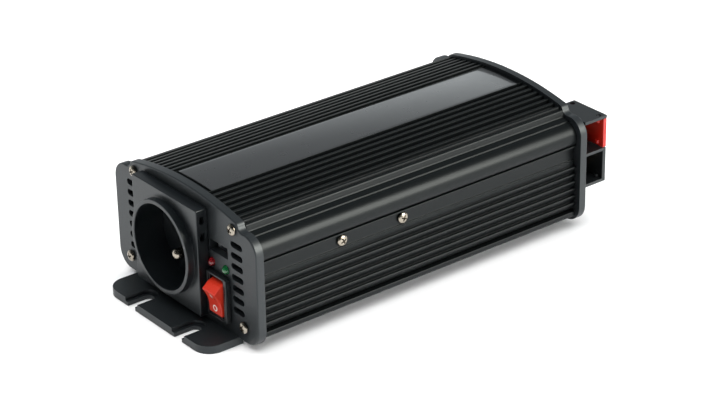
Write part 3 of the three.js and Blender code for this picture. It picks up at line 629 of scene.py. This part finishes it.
def lower_shell():
    """Ledge, recessed screw band, fine ribs, deep groove and rounded lip down each side."""
    side = HALF_SHELL
    low, high = extent("lower_shell")
    tongue = [(INNER_SIDE, high.z, 0.1), (TONGUE_X, high.z, 0.1), (TONGUE_X, LEDGE_TOP, 0.05)]
    ledge = [(side, LEDGE_TOP, 0.25), (side, LEDGE_BOTTOM, 0.1)]
    screw_band = [
        (BAND_X, BAND_TOP, 0.15), (BAND_X, BAND_BOTTOM, 0.3), (BAND_STEP_X, BAND_BOTTOM - 0.2, 0.15),
    ]
    score_line = [(BAND_STEP_X, 34.3, 0.1), (BAND_STEP_X - 0.3, 34.1, 0.05), (BAND_STEP_X, 33.9, 0.1)]
    crests = [RIB_FIRST - i * RIB_PITCH for i in range(RIB_COUNT)]
    ribs = [(BAND_STEP_X, BAND_STEP_BOTTOM, 0.1)]
    for crest in crests:
        ribs += [
            (RIB_FLOOR, crest + RIB_LAND, 0.1), (side, crest + RIB_LAND, 0.34), (side, crest, 0.2),
            (RIB_FLOOR, crest - RIB_SLOPE, 0.3),
        ]
    groove = [
        (GROOVE_X, crests[-1] - RIB_SLOPE - 0.05, 0.2), (GROOVE_X, GROOVE_BOTTOM + 0.1, 0.2),
        (side - 0.2, GROOVE_BOTTOM, 0.35),
    ]
    base = [(side, low.z, 2.6), (0, low.z, 0)]
    half = rail_corners() + tongue + ledge + screw_band + score_line + ribs + groove + base
    form = prism("lower_shell_form", filleted(mirrored(half)), SHELL_FRONT, SHELL_REAR)
    return show(form, ANODISED, "casing", "lower_shell")


def nameplate():
    """A thin blank plate, bowed like the crown that it lies on."""
    low, high = extent("nameplate")
    half = high.x - 0.1
    strips = 16
    across = [-half + 2 * half * i / strips for i in range(strips + 1)]
    top = [(x, crown(CROWN_RADIUS, high.z + LABEL_BOW, x)) for x in across]
    outline = [(-half, low.z), *top, (half, low.z)]
    plate = softened(prism("nameplate_form", outline, low.y, high.y), 0.1, 2)
    return show(plate, LABEL, "casing", "nameplate")


# ---------------------------------------------------------------- end plates


def plate_outline():
    """An arched top between two shoulders that stand outside the casing's own."""
    crown_points = [(x, crown(PLATE_CROWN_RADIUS, PLATE_CROWN, x), 0) for x in range(0, 36, 5)]
    shoulder = shoulder_points(PLATE_SHOULDER, PLATE_HALF, PLATE_CROWN, PLATE_CROWN_RADIUS)
    base = [(PLATE_HALF, PLATE_BOTTOM, PLATE_BASE_RADIUS), (0, PLATE_BOTTOM, 0)]
    return filleted(mirrored(crown_points + shoulder + base), 10)


def foot(half_width, face, outward):
    """A foot along the bottom of a plate; outward is -1 at the front and 1 at the rear."""
    edge = face + outward * FOOT_REACH
    root = face - outward * FOOT_ROOT
    corners = [
        (-half_width, root, 0), (half_width, root, 0),
        (half_width, edge, FOOT_CORNER), (-half_width, edge, FOOT_CORNER),
    ]
    slab = prism("foot", filleted(corners, 10), 0, FOOT_THICKNESS, ALONG_Z)
    slots = []
    for side in (-1, 1):
        for half, floor in ((SLOT_WIDTH / 2, -1), (SLOT_RECESS, SLOT_FLOOR)):
            mouth = edge + outward
            inner = face + outward * SLOT_CENTRE
            ends = arc(side * SLOT_X, inner, half, 0, -180 * outward, 16)
            outline = [(side * SLOT_X + half, mouth), *ends, (side * SLOT_X - half, mouth)]
            slots.append(prism("slot", outline, floor, FOOT_THICKNESS + 1, ALONG_Z))
    return carved(slab, *slots)


def slotted(outline, face):
    """A cutter with this outline, long enough to pass through a plate."""
    return prism("opening", outline, face - THROUGH, face + THROUGH)


def hole(x, z, radius, face):
    return slotted(circle(x, z, radius, 24), face)


def screw_places(prefix):
    return [centre(f"{prefix}_screw_{i}") for i in (1, 2, 3, 4)]


def rimmed_plate(name, inner, outer):
    """The plate's slab with its outside edge rounded over; outer is the depth of its shown face."""
    slab = prism(name, plate_outline(), inner, outer)
    facing = 1 if outer > inner else -1
    weights = slab.data.attributes.new("bevel_weight_edge", "FLOAT", "EDGE")
    for edge in slab.data.edges:
        depths = [slab.data.vertices[v].co.y * facing for v in edge.vertices]
        weights.data[edge.index].value = 1.0 if min(depths) > outer * facing * MM - TINY else 0.0
    bevel = slab.modifiers.new("rim", "BEVEL")
    bevel.width = PLATE_RIM * MM
    bevel.segments = 5
    bevel.limit_method = "WEIGHT"
    return applied(slab)


def opening_behind(node, width, height, corner):
    """The front plate's rectangular opening for a fitting, centred on that fitting's CAD node."""
    spot = centre(node)
    return slotted(rounded_rectangle(spot.x, spot.z, width, height, corner), FRONT_FACE)


def vent_cuts():
    """A column of level slots near each side of the front plate."""
    cuts = []
    for side in (-1, 1):
        for i in range(VENT_COUNT):
            z = VENT_TOP - i * VENT_PITCH
            vent = rounded_rectangle(side * VENT_X, z, VENT_WIDTH, VENT_HEIGHT, VENT_CORNER, 6)
            cuts.append(slotted(vent, FRONT_FACE))
    return cuts


def front_plate():
    plate = rimmed_plate("front_plate_form", FRONT_FACE + PLATE_THICKNESS, FRONT_FACE)
    fused(plate, foot(FRONT_FOOT_HALF, FRONT_FACE, -1))
    cuts = [hole(p.x, p.z, SCREW_PASSAGE, FRONT_FACE) for p in screw_places("front")]
    cuts += vent_cuts()
    cuts.append(opening_behind("usb_shell", USB_WIDTH, USB_HEIGHT, 0.3))
    for lens_node in ("led_red", "led_green"):
        spot = centre(lens_node)
        cuts.append(hole(spot.x, spot.z, LENS_HOLE, FRONT_FACE))
    cuts.append(opening_behind("switch_housing", SWITCH_OPENING_WIDTH, SWITCH_OPENING_HEIGHT, 0.3))
    cuts.append(opening_behind("outlet_back_cover", OUTLET_OPENING, OUTLET_OPENING, 0.5))
    softened(carved(plate, *cuts), SOFT_EDGE, 2, 50)
    return show(flattened(plate), PLATE, "casing", "front_plate")


def grille_cuts(fan):
    """Two rings of curved slots round a blank hub."""
    cuts = []
    for inner, outer in GRILLE_RINGS:
        for quarter in range(4):
            start = 45 + 90 * quarter
            trims = [math.degrees(math.asin(GRILLE_HALF_SPOKE / r)) for r in (inner, outer)]
            points = arc(fan.x, fan.z, outer, start + trims[1], start + 90 - trims[1], 12)
            points += arc(fan.x, fan.z, inner, start + 90 - trims[0], start + trims[0], 10)
            cuts.append(slotted(points, REAR_FACE))
    return cuts


def rear_plate():
    plate = rimmed_plate("rear_plate_form", REAR_FACE - PLATE_THICKNESS, REAR_FACE)
    fused(plate, foot(REAR_FOOT_HALF, REAR_FACE, 1))
    cuts = [hole(p.x, p.z, SCREW_PASSAGE, REAR_FACE) for p in screw_places("rear") + screw_places("fan")]
    cuts += grille_cuts(centre("fan_frame"))
    for node in ("terminal_bar_positive", "terminal_bar_negative"):
        low, high = extent(node)
        middle = (low + high) / 2
        width, height = high.x - low.x + 0.8, high.z - low.z + 0.8
        cuts.append(slotted(rounded_rectangle(middle.x, middle.z, width, height, 0.4), REAR_FACE))
    softened(carved(plate, *cuts), SOFT_EDGE, 2, 50)
    return show(flattened(plate), PLATE, "casing", "rear_plate")


# ---------------------------------------------------------------- screws


def phillips_cutter(depth):
    """Two crossed tapered wings, pointing along +Y from the top of a screw head at y = 0."""
    wings = []
    for across, deep in ((PHILLIPS_REACH, PHILLIPS_HALF_WIDTH), (PHILLIPS_HALF_WIDTH, PHILLIPS_REACH)):
        build = bmesh.new()
        rings = []
        for y, shrink in ((-0.5, 1.08), (0, 1.0), (depth, 0.5)):
            a, b = across * shrink, deep * shrink
            rings.append([build.verts.new((x, y, z)) for x, z in ((-a, -b), (a, -b), (a, b), (-a, b))])
        build.faces.new(rings[0])
        build.faces.new(reversed(rings[-1]))
        for ring, onward in zip(rings, rings[1:]):
            for i in range(4):
                build.faces.new((ring[i], ring[i - 3], onward[i - 3], onward[i]))
        wings.append(finished_object("wing", build))
    return fused(*wings)


def pan_screw_mesh(length):
    """A Phillips pan head screw along +Y, with the underside of its head at y = 0."""
    radius = HEAD_RADIUS
    rise = HEAD_HEIGHT - HEAD_RIM
    dome = [math.radians(a) for a in range(0, 91, 15)]
    head = [(radius * math.sin(a), -HEAD_RIM - rise * math.cos(a)) for a in dome]
    head += [(radius, -0.1), (radius - 0.1, 0)]
    shank = []
    depth = 0.0
    while depth < length - SCREW_TIP:
        shank += [(THREAD_ROOT, depth), (SHANK_RADIUS, depth + THREAD_PITCH / 2)]
        depth += THREAD_PITCH
    screw = turned("pan_screw", head + shank + [(0, length)], steps=36)
    cutter = phillips_cutter(PHILLIPS_DEPTH)
    cutter.location.y = -HEAD_HEIGHT * MM
    return smoothed(carved(screw, cutter))


def place_screws():
    """Every casing screw, its head seated where the CAD node's is."""
    for kind in ("front", "rear", "fan", "side"):
        pattern = pan_screw_mesh(SIDE_SCREW_LENGTH if kind == "side" else PLATE_SCREW_LENGTH)
        for i in (1, 2, 3, 4):
            node = f"{kind}_screw_{i}"
            low, high = extent(node)
            spot = (low + high) / 2
            if kind == "side":
                angle = math.copysign(math.pi / 2, spot.x)
                spot.x = math.copysign(max(abs(low.x), abs(high.x)) - HEAD_HEIGHT, spot.x)
            else:
                angle = 0 if kind == "front" else math.pi
                spot.y = low.y + HEAD_HEIGHT if kind == "front" else high.y - HEAD_HEIGHT
            twist = math.radians(17 + 47 * i)
            copy = bpy.data.objects.new(f"{node}_form", pattern.data)
            bpy.context.scene.collection.objects.link(copy)
            turn = Matrix.Rotation(angle, 4, "Z") @ Matrix.Rotation(twist, 4, "Y")
            copy.matrix_world = Matrix.Translation(spot * MM) @ turn
            show(copy, NICKEL, "casing", node)
        bpy.data.objects.remove(pattern)


# ---------------------------------------------------------------- outlet


def outlet_collar(x, z, front, base_front):
    """The round collar, with a rounded rim and a small step where it meets the base."""
    radius = COLLAR_RADIUS
    return turned("collar", [
        (0, front), (radius - 0.4, front), (radius - 0.1, front + 0.1), (radius, front + 0.4),
        (radius, base_front - 0.3), (radius + 0.1, base_front - 0.1), (radius + 0.4, base_front),
        (radius + 0.4, base_front + 0.6), (0, base_front + 0.6),
    ], (x, 0, z), 96)


def outlet_recess(x, z, front, floor):
    """The cutter of the recess, which narrows a little towards its floor."""
    return turned("bore", [
        (0, front - 1), (BORE_RADIUS + 0.2, front - 1), (BORE_RADIUS + 0.2, front),
        (BORE_RADIUS, front + 0.3), (BORE_RADIUS - 0.1, floor), (0, floor),
    ], (x, 0, z), 96)


def contact_hole(node, floor):
    """The cutter of a contact hole, widened where it opens into the recess."""
    spot = centre(node)
    through = floor + OUTLET_FLOOR_THICKNESS + 1
    return turned("contact_hole", [
        (0, floor - 1), (CONTACT_HOLE_MOUTH, floor - 1), (CONTACT_HOLE_MOUTH, floor),
        (CONTACT_HOLE, floor + 0.8), (CONTACT_HOLE, through), (0, through),
    ], (spot.x, 0, spot.z), 32)


def snap_notch(wall, base_front, z):
    low = (wall - 2.5, base_front + 1.6, z - NOTCH_HALF_HEIGHT)
    high = (wall + 1, base_front + 3.8, z + NOTCH_HALF_HEIGHT)
    return block("snap_notch", low, high)


def outlet():
    """Square base, round collar, deep recess with its contact holes, snap notches and earth pin hole."""
    low, high = extent("outlet_body")
    middle = centre("outlet_back_cover")
    x, z = middle.x, middle.z
    base_front = low.y + COLLAR_PROUD
    floor = low.y + BORE_DEPTH
    outline = rounded_rectangle(x, z, OUTLET_WIDTH, OUTLET_HEIGHT, 0.5)
    base = softened(prism("outlet_form", outline, base_front, FRONT_FACE - CLEARANCE), 0.35, 3)
    rear_outline = rounded_rectangle(x, z, OUTLET_BODY, OUTLET_BODY, 0.5)
    body = prism("rear_body", rear_outline, base_front + 1, high.y)
    collar = outlet_collar(x, z, low.y, base_front)
    bore = outlet_recess(x, z, low.y, floor)
    wiring_outline = rounded_rectangle(x, z, WIRING_SPACE, WIRING_SPACE, 0.5)
    wiring = prism("wiring", wiring_outline, floor + OUTLET_FLOOR_THICKNESS, high.y + 1)
    wall = x + OUTLET_WIDTH / 2
    notches = [snap_notch(wall, base_front, z + offset) for offset in NOTCH_OFFSETS]
    contact_holes = [contact_hole(f"outlet_contact_{side}", floor) for side in ("line", "neutral")]
    pin = centre("outlet_earth_pin")
    pin_outline = circle(pin.x, pin.z, PIN_HOLE, 32)
    pin_hole = prism("pin_hole", pin_outline, floor - 1, floor + OUTLET_FLOOR_THICKNESS + 1)
    fused(base, body, collar)
    carved(base, bore, wiring, *notches, *contact_holes, pin_hole)
    return show(flattened(smoothed(base, 30)), OUTLET, "casing", "outlet_body")


def dome_points(radius, rise, top, step):
    """A profile's (radius, depth) points from the tip of a dome at depth top to its widest ring."""
    angles = [math.radians(a) for a in range(0, 91, step)]
    return [(radius * math.sin(a), top + rise * (1 - math.cos(a))) for a in angles]


def earth_pin():
    low, high = extent("outlet_earth_pin")
    spot = (low + high) / 2
    dome = dome_points(PIN_RADIUS, PIN_DOME, low.y, 15)
    profile = dome + [(PIN_RADIUS, high.y), (0, high.y)]
    pin = turned("outlet_earth_pin_form", profile, (spot.x, 0, spot.z), 32)
    return show(pin, NICKEL, "casing", "outlet_earth_pin")


# ---------------------------------------------------------------- USB port and indicators


def usb_shell():
    """The port's folded metal shell, open at the front."""
    low, high = extent("usb_shell")
    middle = (low + high) / 2
    width, height = high.x - low.x, high.z - low.z
    shell = prism("usb_shell_form", rounded_rectangle(middle.x, middle.z, width, height, 0.7), low.y, high.y)
    inside = rounded_rectangle(middle.x, middle.z, width - 2 * USB_WALL, height - 2 * USB_WALL, 0.4)
    carved(shell, prism("inside", inside, low.y - 1, high.y - 0.4))
    return show(shell, TIN, "casing", "usb_shell")


def usb_tongue():
    """The white tongue, with its bright contacts shown as one block at its front."""
    low, high = extent("usb_tongue")
    tongue = softened(block("usb_tongue_form", (low.x, low.y + USB_CARRIER, low.z), high), 0.25, 3)
    show(tongue, WHITE_PLASTIC, "casing", "usb_tongue")
    contacts_low = (low.x + 0.3, low.y, low.z + 0.1)
    contacts_high = (high.x - 0.3, low.y + USB_CARRIER - 0.1, high.z - 0.1)
    contacts = softened(block("usb_contacts", contacts_low, contacts_high), 0.15, 2)
    contacts.data.materials.append(POLISHED)
    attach(contacts, "casing")


def lens(node, finish):
    """A round indicator lens with a domed tip."""
    low, high = extent(node)
    spot = (low + high) / 2
    radius = (high.x - low.x) / 2
    profile = dome_points(radius, radius, low.y, 10) + [(radius, high.y), (0, high.y)]
    body = turned(f"{node}_form", profile, (spot.x, 0, spot.z), 40)
    return show(body, finish, "casing", node)


# ---------------------------------------------------------------- rocker switch


def switch_housing():
    """Thin bezel over the plate, a body behind it, and the well that the key tips in."""
    low, high = extent("switch_housing")
    middle = (low + high) / 2
    x, z = middle.x, middle.z
    bezel_outline = rounded_rectangle(x, z, BEZEL_WIDTH, BEZEL_HEIGHT, 0.7)
    bezel = prism("switch_housing_form", bezel_outline, low.y, FRONT_FACE - CLEARANCE)
    softened(bezel, 0.3, 3)
    body_outline = rounded_rectangle(x, z, SWITCH_BODY_WIDTH, SWITCH_BODY_HEIGHT, 0.4)
    body = prism("switch_body", body_outline, low.y + 1, high.y)
    well_outline = rounded_rectangle(x, z, WELL_WIDTH, WELL_HEIGHT, 0.4)
    well = prism("well", well_outline, low.y - 1, FRONT_FACE + WELL_DEPTH)
    lead_in_outline = rounded_rectangle(x, z, WELL_WIDTH + LEAD_IN, WELL_HEIGHT + LEAD_IN, 0.6)
    lead_in = prism("lead_in", lead_in_outline, low.y - 1, low.y + 0.5)
    fused(bezel, body)
    softened(carved(bezel, well, lead_in), SOFT_EDGE, 2)
    return show(flattened(bezel), BLACK_PLASTIC, "casing", "switch_housing")


def on_key(pivot, up, out):
    """The (y, z) place that lies so far up and so far out from the pivot on the tilted key."""
    y = pivot.y - up * math.sin(ROCKER_TILT) - out * math.cos(ROCKER_TILT)
    z = pivot.z + up * math.cos(ROCKER_TILT) - out * math.sin(ROCKER_TILT)
    return y, z


def rocker_marks(x, pivot):
    """A bar on the key's upper half for on and a ring on its lower half for off."""
    face_slope = math.atan2(ROCKER_END_OUT - ROCKER_MIDDLE_OUT, ROCKER_END_UP)
    half = MARK_HALF_DEPTH
    bar = block("on_mark", (-0.35, -half, -1.3), (0.35, half, 1.3))
    ring = turned("off_mark", [(1.5, -half), (1.5, half), (1.0, half), (1.0, -half), (1.5, -half)])
    for mark, up in ((bar, MARK_UP), (ring, -MARK_UP)):
        out = ROCKER_MIDDLE_OUT + abs(up) * math.tan(face_slope)
        spot = Vector((x, *on_key(pivot, up, out)))
        lean = ROCKER_TILT + math.copysign(face_slope, up)
        mark.data.materials.append(WHITE_PLASTIC)
        mark.matrix_world = Matrix.Translation(spot * MM) @ Matrix.Rotation(lean, 4, "X")
        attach(mark, "rocker")


def rocker():
    """A shallow vee face between two sloping ends, tilted with its upper half out, which is off."""
    low, high = extent("switch_rocker")
    joint = next(j for j in frame["record"]["behaviour"]["joints"] if j["child"] == "rocker")
    pivot = Vector(joint["pos_m"]) / MM
    end = (ROCKER_END_UP, ROCKER_END_OUT, 0.5)
    half = [(0, ROCKER_MIDDLE_OUT, 22), end, (7.9, 3.6, 0.3), (8.1, -1.5, 0.3), (3, -2.2, 0.3)]
    corners = half + [(-up, out, r) for up, out, r in reversed(half[1:])]
    outline = [on_key(pivot, up, out) for up, out in filleted(corners, 6)]
    key = softened(prism("switch_rocker_form", outline, low.x, high.x, ALONG_X), 0.35, 3, 50)
    show(flattened(key), ROCKER_RED, "rocker", "switch_rocker")
    rocker_marks((low.x + high.x) / 2, pivot)


# ---------------------------------------------------------------- battery terminals


def terminal_cover():
    """The lid on the upper box, with two holes and a cut-away round a plate screw's head."""
    low, high = extent("terminal_cover")
    cover = block("terminal_cover_form", low, high)
    screw = centre("rear_screw_2")
    relief_cut = prism("relief", circle(screw.x, screw.z, HEAD_RADIUS + 0.5), REAR_FACE, REAR_FACE + 2.5)
    holes = [prism("hole", circle(x, high.y - 3.2, 1.3, 24), low.z - 1, high.z + 1, ALONG_Z)
             for x in (low.x + 2.2, high.x - 2.2)]
    softened(carved(cover, relief_cut, *holes), 0.3, 3)
    return show(flattened(cover), TERMINAL_BLACK, "casing", "terminal_cover")


def terminal_box(name, finish, chamber_bottom, chamber_top):
    """A box that is open to the right and towards the plate, with two pegs on its rear wall."""
    low, high = extent(f"terminal_box_{name}")
    box = block(f"terminal_box_{name}_form", low, high)
    inner_rear = high.y - TERMINAL_WALL
    chamber_low = (low.x + TERMINAL_WALL, low.y - 1, chamber_bottom)
    carved(box, block("chamber", chamber_low, (high.x + 1, inner_rear, chamber_top)))
    peg_outline = circle(high.x - PEG_INSET, inner_rear, PEG_RADIUS, 20)
    pegs = [prism("peg", peg_outline, z, z + PEG_HEIGHT, ALONG_Z)
            for z in (low.z + 1, high.z - 1 - PEG_HEIGHT)]
    softened(fused(box, *pegs), 0.3, 3)
    return show(flattened(box), finish, "casing", f"terminal_box_{name}")


def terminal_screw(name):
    """A slotted clamp screw along X, with its head at the right."""
    low, high = extent(f"terminal_screw_{name}")
    spot = (low + high) / 2
    radius = BOLT_HEAD_RADIUS
    under_head = high.x - BOLT_HEAD_HEIGHT
    profile = [(0, high.x), (radius - 0.9, high.x), (radius - 0.3, high.x - 0.3), (radius, high.x - 0.9)]
    profile += [(radius, under_head), (BOLT_SHANK, under_head)]
    profile += [(BOLT_SHANK, low.x + 0.6), (BOLT_SHANK - 0.4, low.x), (0, low.x)]
    bolt = turned(f"terminal_screw_{name}_form", profile, (0, spot.y, spot.z), 40, ALONG_X)
    slot_low = (high.x - BOLT_SLOT_DEPTH, spot.y - 5, spot.z - BOLT_SLOT_HALF_WIDTH)
    slot_high = (high.x + 1, spot.y + 5, spot.z + BOLT_SLOT_HALF_WIDTH)
    smoothed(carved(bolt, block("slot", slot_low, slot_high)))
    return show(bolt, NICKEL, f"{name}_screw", f"terminal_screw_{name}")


def terminal_block():
    """The lid, the upper box that is open above and below, the lower box with its own floor and roof."""
    terminal_cover()
    low, high = extent("terminal_box_positive")
    terminal_box("positive", TERMINAL_RED, low.z - 1, high.z + 1)
    low, high = extent("terminal_box_negative")
    terminal_box("negative", TERMINAL_BLACK, low.z + TERMINAL_FLOOR, high.z - TERMINAL_ROOF)
    terminal_screw("positive")
    terminal_screw("negative")


# ---------------------------------------------------------------- pieces that keep their CAD shape

KEPT = {
    "outlet_back_cover": OUTLET, "outlet_contact_line": BRASS, "outlet_contact_neutral": BRASS,
    "outlet_shutter": OUTLET, "front_board": BOARD, "switch_blade_1": TIN, "switch_blade_2": TIN,
    "fan_frame": BLACK_PLASTIC, "fan_rotor": BLACK_PLASTIC,
    "terminal_bar_positive": BRASS, "terminal_bar_negative": BRASS,
    "main_board": BOARD, "driver_board": BOARD, "transformer_core": FERRITE, "transformer_winding": COPPER,
    "clamp_bar_right": TIN, "clamp_bar_left": TIN,
    "transistor_right_1": BLACK_PLASTIC, "transistor_right_2": BLACK_PLASTIC,
    "transistor_left_1": BLACK_PLASTIC, "transistor_left_2": BLACK_PLASTIC,
    "input_capacitor_1": SLEEVE, "input_capacitor_2": SLEEVE, "output_capacitor": SLEEVE,
    "output_choke": COPPER, "fuse": FUSE,
}


def finish_kept_nodes():
    for name, finish in KEPT.items():
        node = frame["nodes"][name]
        node.data.materials.clear()
        node.data.materials.append(finish)


# ---------------------------------------------------------------- stage


def view_axes(azimuth, elevation):
    a, e = math.radians(azimuth), math.radians(elevation)
    back = Vector((math.sin(a) * math.cos(e), -math.cos(a) * math.cos(e), math.sin(e)))
    right = Vector((math.cos(a), math.sin(a), 0))
    return back, right, back.cross(right)


def make_camera():
    """Looks down on the front right corner from about a metre, as a product photographer would."""
    back, right, up = view_axes(CAMERA_AZIMUTH, CAMERA_ELEVATION)
    roll = CAMERA_ROLL
    data = bpy.data.cameras.new("camera")
    data.sensor_width = SENSOR_MM
    data.lens = LENS_MM
    data.clip_start = 0.05
    camera = bpy.data.objects.new("camera", data)
    bpy.context.scene.collection.objects.link(camera)
    level_right = right * math.cos(roll) - up * math.sin(roll)
    level_up = right * math.sin(roll) + up * math.cos(roll)
    turn = Matrix((level_right, level_up, back)).transposed().to_4x4()
    across, rise = CAMERA_SHIFT
    place = CAMERA_AIM + right * across + up * rise + back * CAMERA_DISTANCE
    camera.matrix_world = Matrix.Translation(place * MM) @ turn
    bpy.context.scene.camera = camera


def softbox(name, azimuth, elevation, distance, size, power):
    """A rectangular light that faces the object from one direction and adds no diffuse light."""
    back, _, _ = view_axes(azimuth, elevation)
    data = bpy.data.lights.new(name, "AREA")
    data.shape = "RECTANGLE"
    data.size, data.size_y = size
    data.energy = power
    data.color = WARM_WHITE
    light = bpy.data.objects.new(name, data)
    light.visible_diffuse = False
    light.location = back * distance
    light.rotation_euler = back.to_track_quat("Z", "Y").to_euler()
    bpy.context.scene.collection.objects.link(light)


def daylight(name, azimuth, elevation, energy, spread_angle):
    """Wide soft light from one side of the room, left out of reflections."""
    back, _, _ = view_axes(azimuth, elevation)
    data = bpy.data.lights.new(name, "SUN")
    data.energy = energy
    data.angle = math.radians(spread_angle)
    light = bpy.data.objects.new(name, data)
    light.visible_glossy = False
    light.rotation_euler = back.to_track_quat("Z", "Y").to_euler()
    bpy.context.scene.collection.objects.link(light)


def make_floor():
    build = bmesh.new()
    corners = ((-1, -1), (1, -1), (1, 1), (-1, 1))
    build.faces.new([build.verts.new((x * FLOOR_REACH, y * FLOOR_REACH, 0)) for x, y in corners])
    floor = finished_object("floor", build)
    floor.location.z = -0.02 * MM
    material, tree, shader = new_material("pale_floor", 0.6)
    dark, light = (0.90, 0.90, 0.90), (0.92, 0.92, 0.92)
    blend_colours(tree, noise(tree, 3, 2.0), dark, light, shader.inputs["Base Color"])
    floor.data.materials.append(material)


def make_sky():
    """A dim room with a white backdrop behind the left of the casing, fading towards the ceiling."""
    world = bpy.data.worlds.new("studio")
    world.use_nodes = True
    nodes, links = world.node_tree.nodes, world.node_tree.links
    direction = nodes.new("ShaderNodeTexCoord")
    height = nodes.new("ShaderNodeSeparateXYZ")
    ramp = nodes.new("ShaderNodeValToRGB")
    levels = ((0.0, 0.8), (0.2, 0.68), (0.38, 0.46), (0.5, 0.26), (0.65, 0.18), (1.0, 0.12))
    while len(ramp.color_ramp.elements) < len(levels):
        ramp.color_ramp.elements.new(0.5)
    for stop, (place, level) in zip(ramp.color_ramp.elements, levels):
        stop.position = place
        stop.color = (level * 0.94, level, level * 1.02, 1)
    links.new(direction.outputs["Generated"], height.inputs["Vector"])
    links.new(height.outputs["Z"], ramp.inputs["Fac"])
    facing = nodes.new("ShaderNodeVectorMath")
    facing.operation = "DOT_PRODUCT"
    facing.inputs[1].default_value = BACKDROP_DIRECTION
    links.new(direction.outputs["Generated"], facing.inputs[0])
    side = nodes.new("ShaderNodeMapRange")
    side.interpolation_type = "SMOOTHSTEP"
    side.inputs["From Min"].default_value = -0.3
    side.inputs["From Max"].default_value = 0.5
    side.inputs["To Min"].default_value = 0.15
    side.inputs["To Max"].default_value = 1.0
    links.new(facing.outputs["Value"], side.inputs["Value"])
    links.new(ramp.outputs["Color"], nodes["Background"].inputs["Color"])
    links.new(side.outputs["Result"], nodes["Background"].inputs["Strength"])
    bpy.context.scene.world = world


def make_studio():
    """Soft overhead light, with a low fill and a softbox from the right and a little behind."""
    make_sky()
    daylight("overhead", 0, 90, 5.0, 90)
    daylight("right_fill", 118, 15, 2.8, 30)
    softbox("shoulder_softbox", 119, 28, 1.5, (0.8, 0.95), 36)
    bpy.context.scene.view_settings.view_transform = "Standard"


# ---------------------------------------------------------------- scene

make_camera()
make_studio()
make_floor()
upper_shell()
lower_shell()
nameplate()
front_plate()
rear_plate()
place_screws()
outlet()
earth_pin()
usb_shell()
usb_tongue()
lens("led_red", LED_RED)
lens("led_green", LED_GREEN)
switch_housing()
rocker()
terminal_block()
finish_kept_nodes()
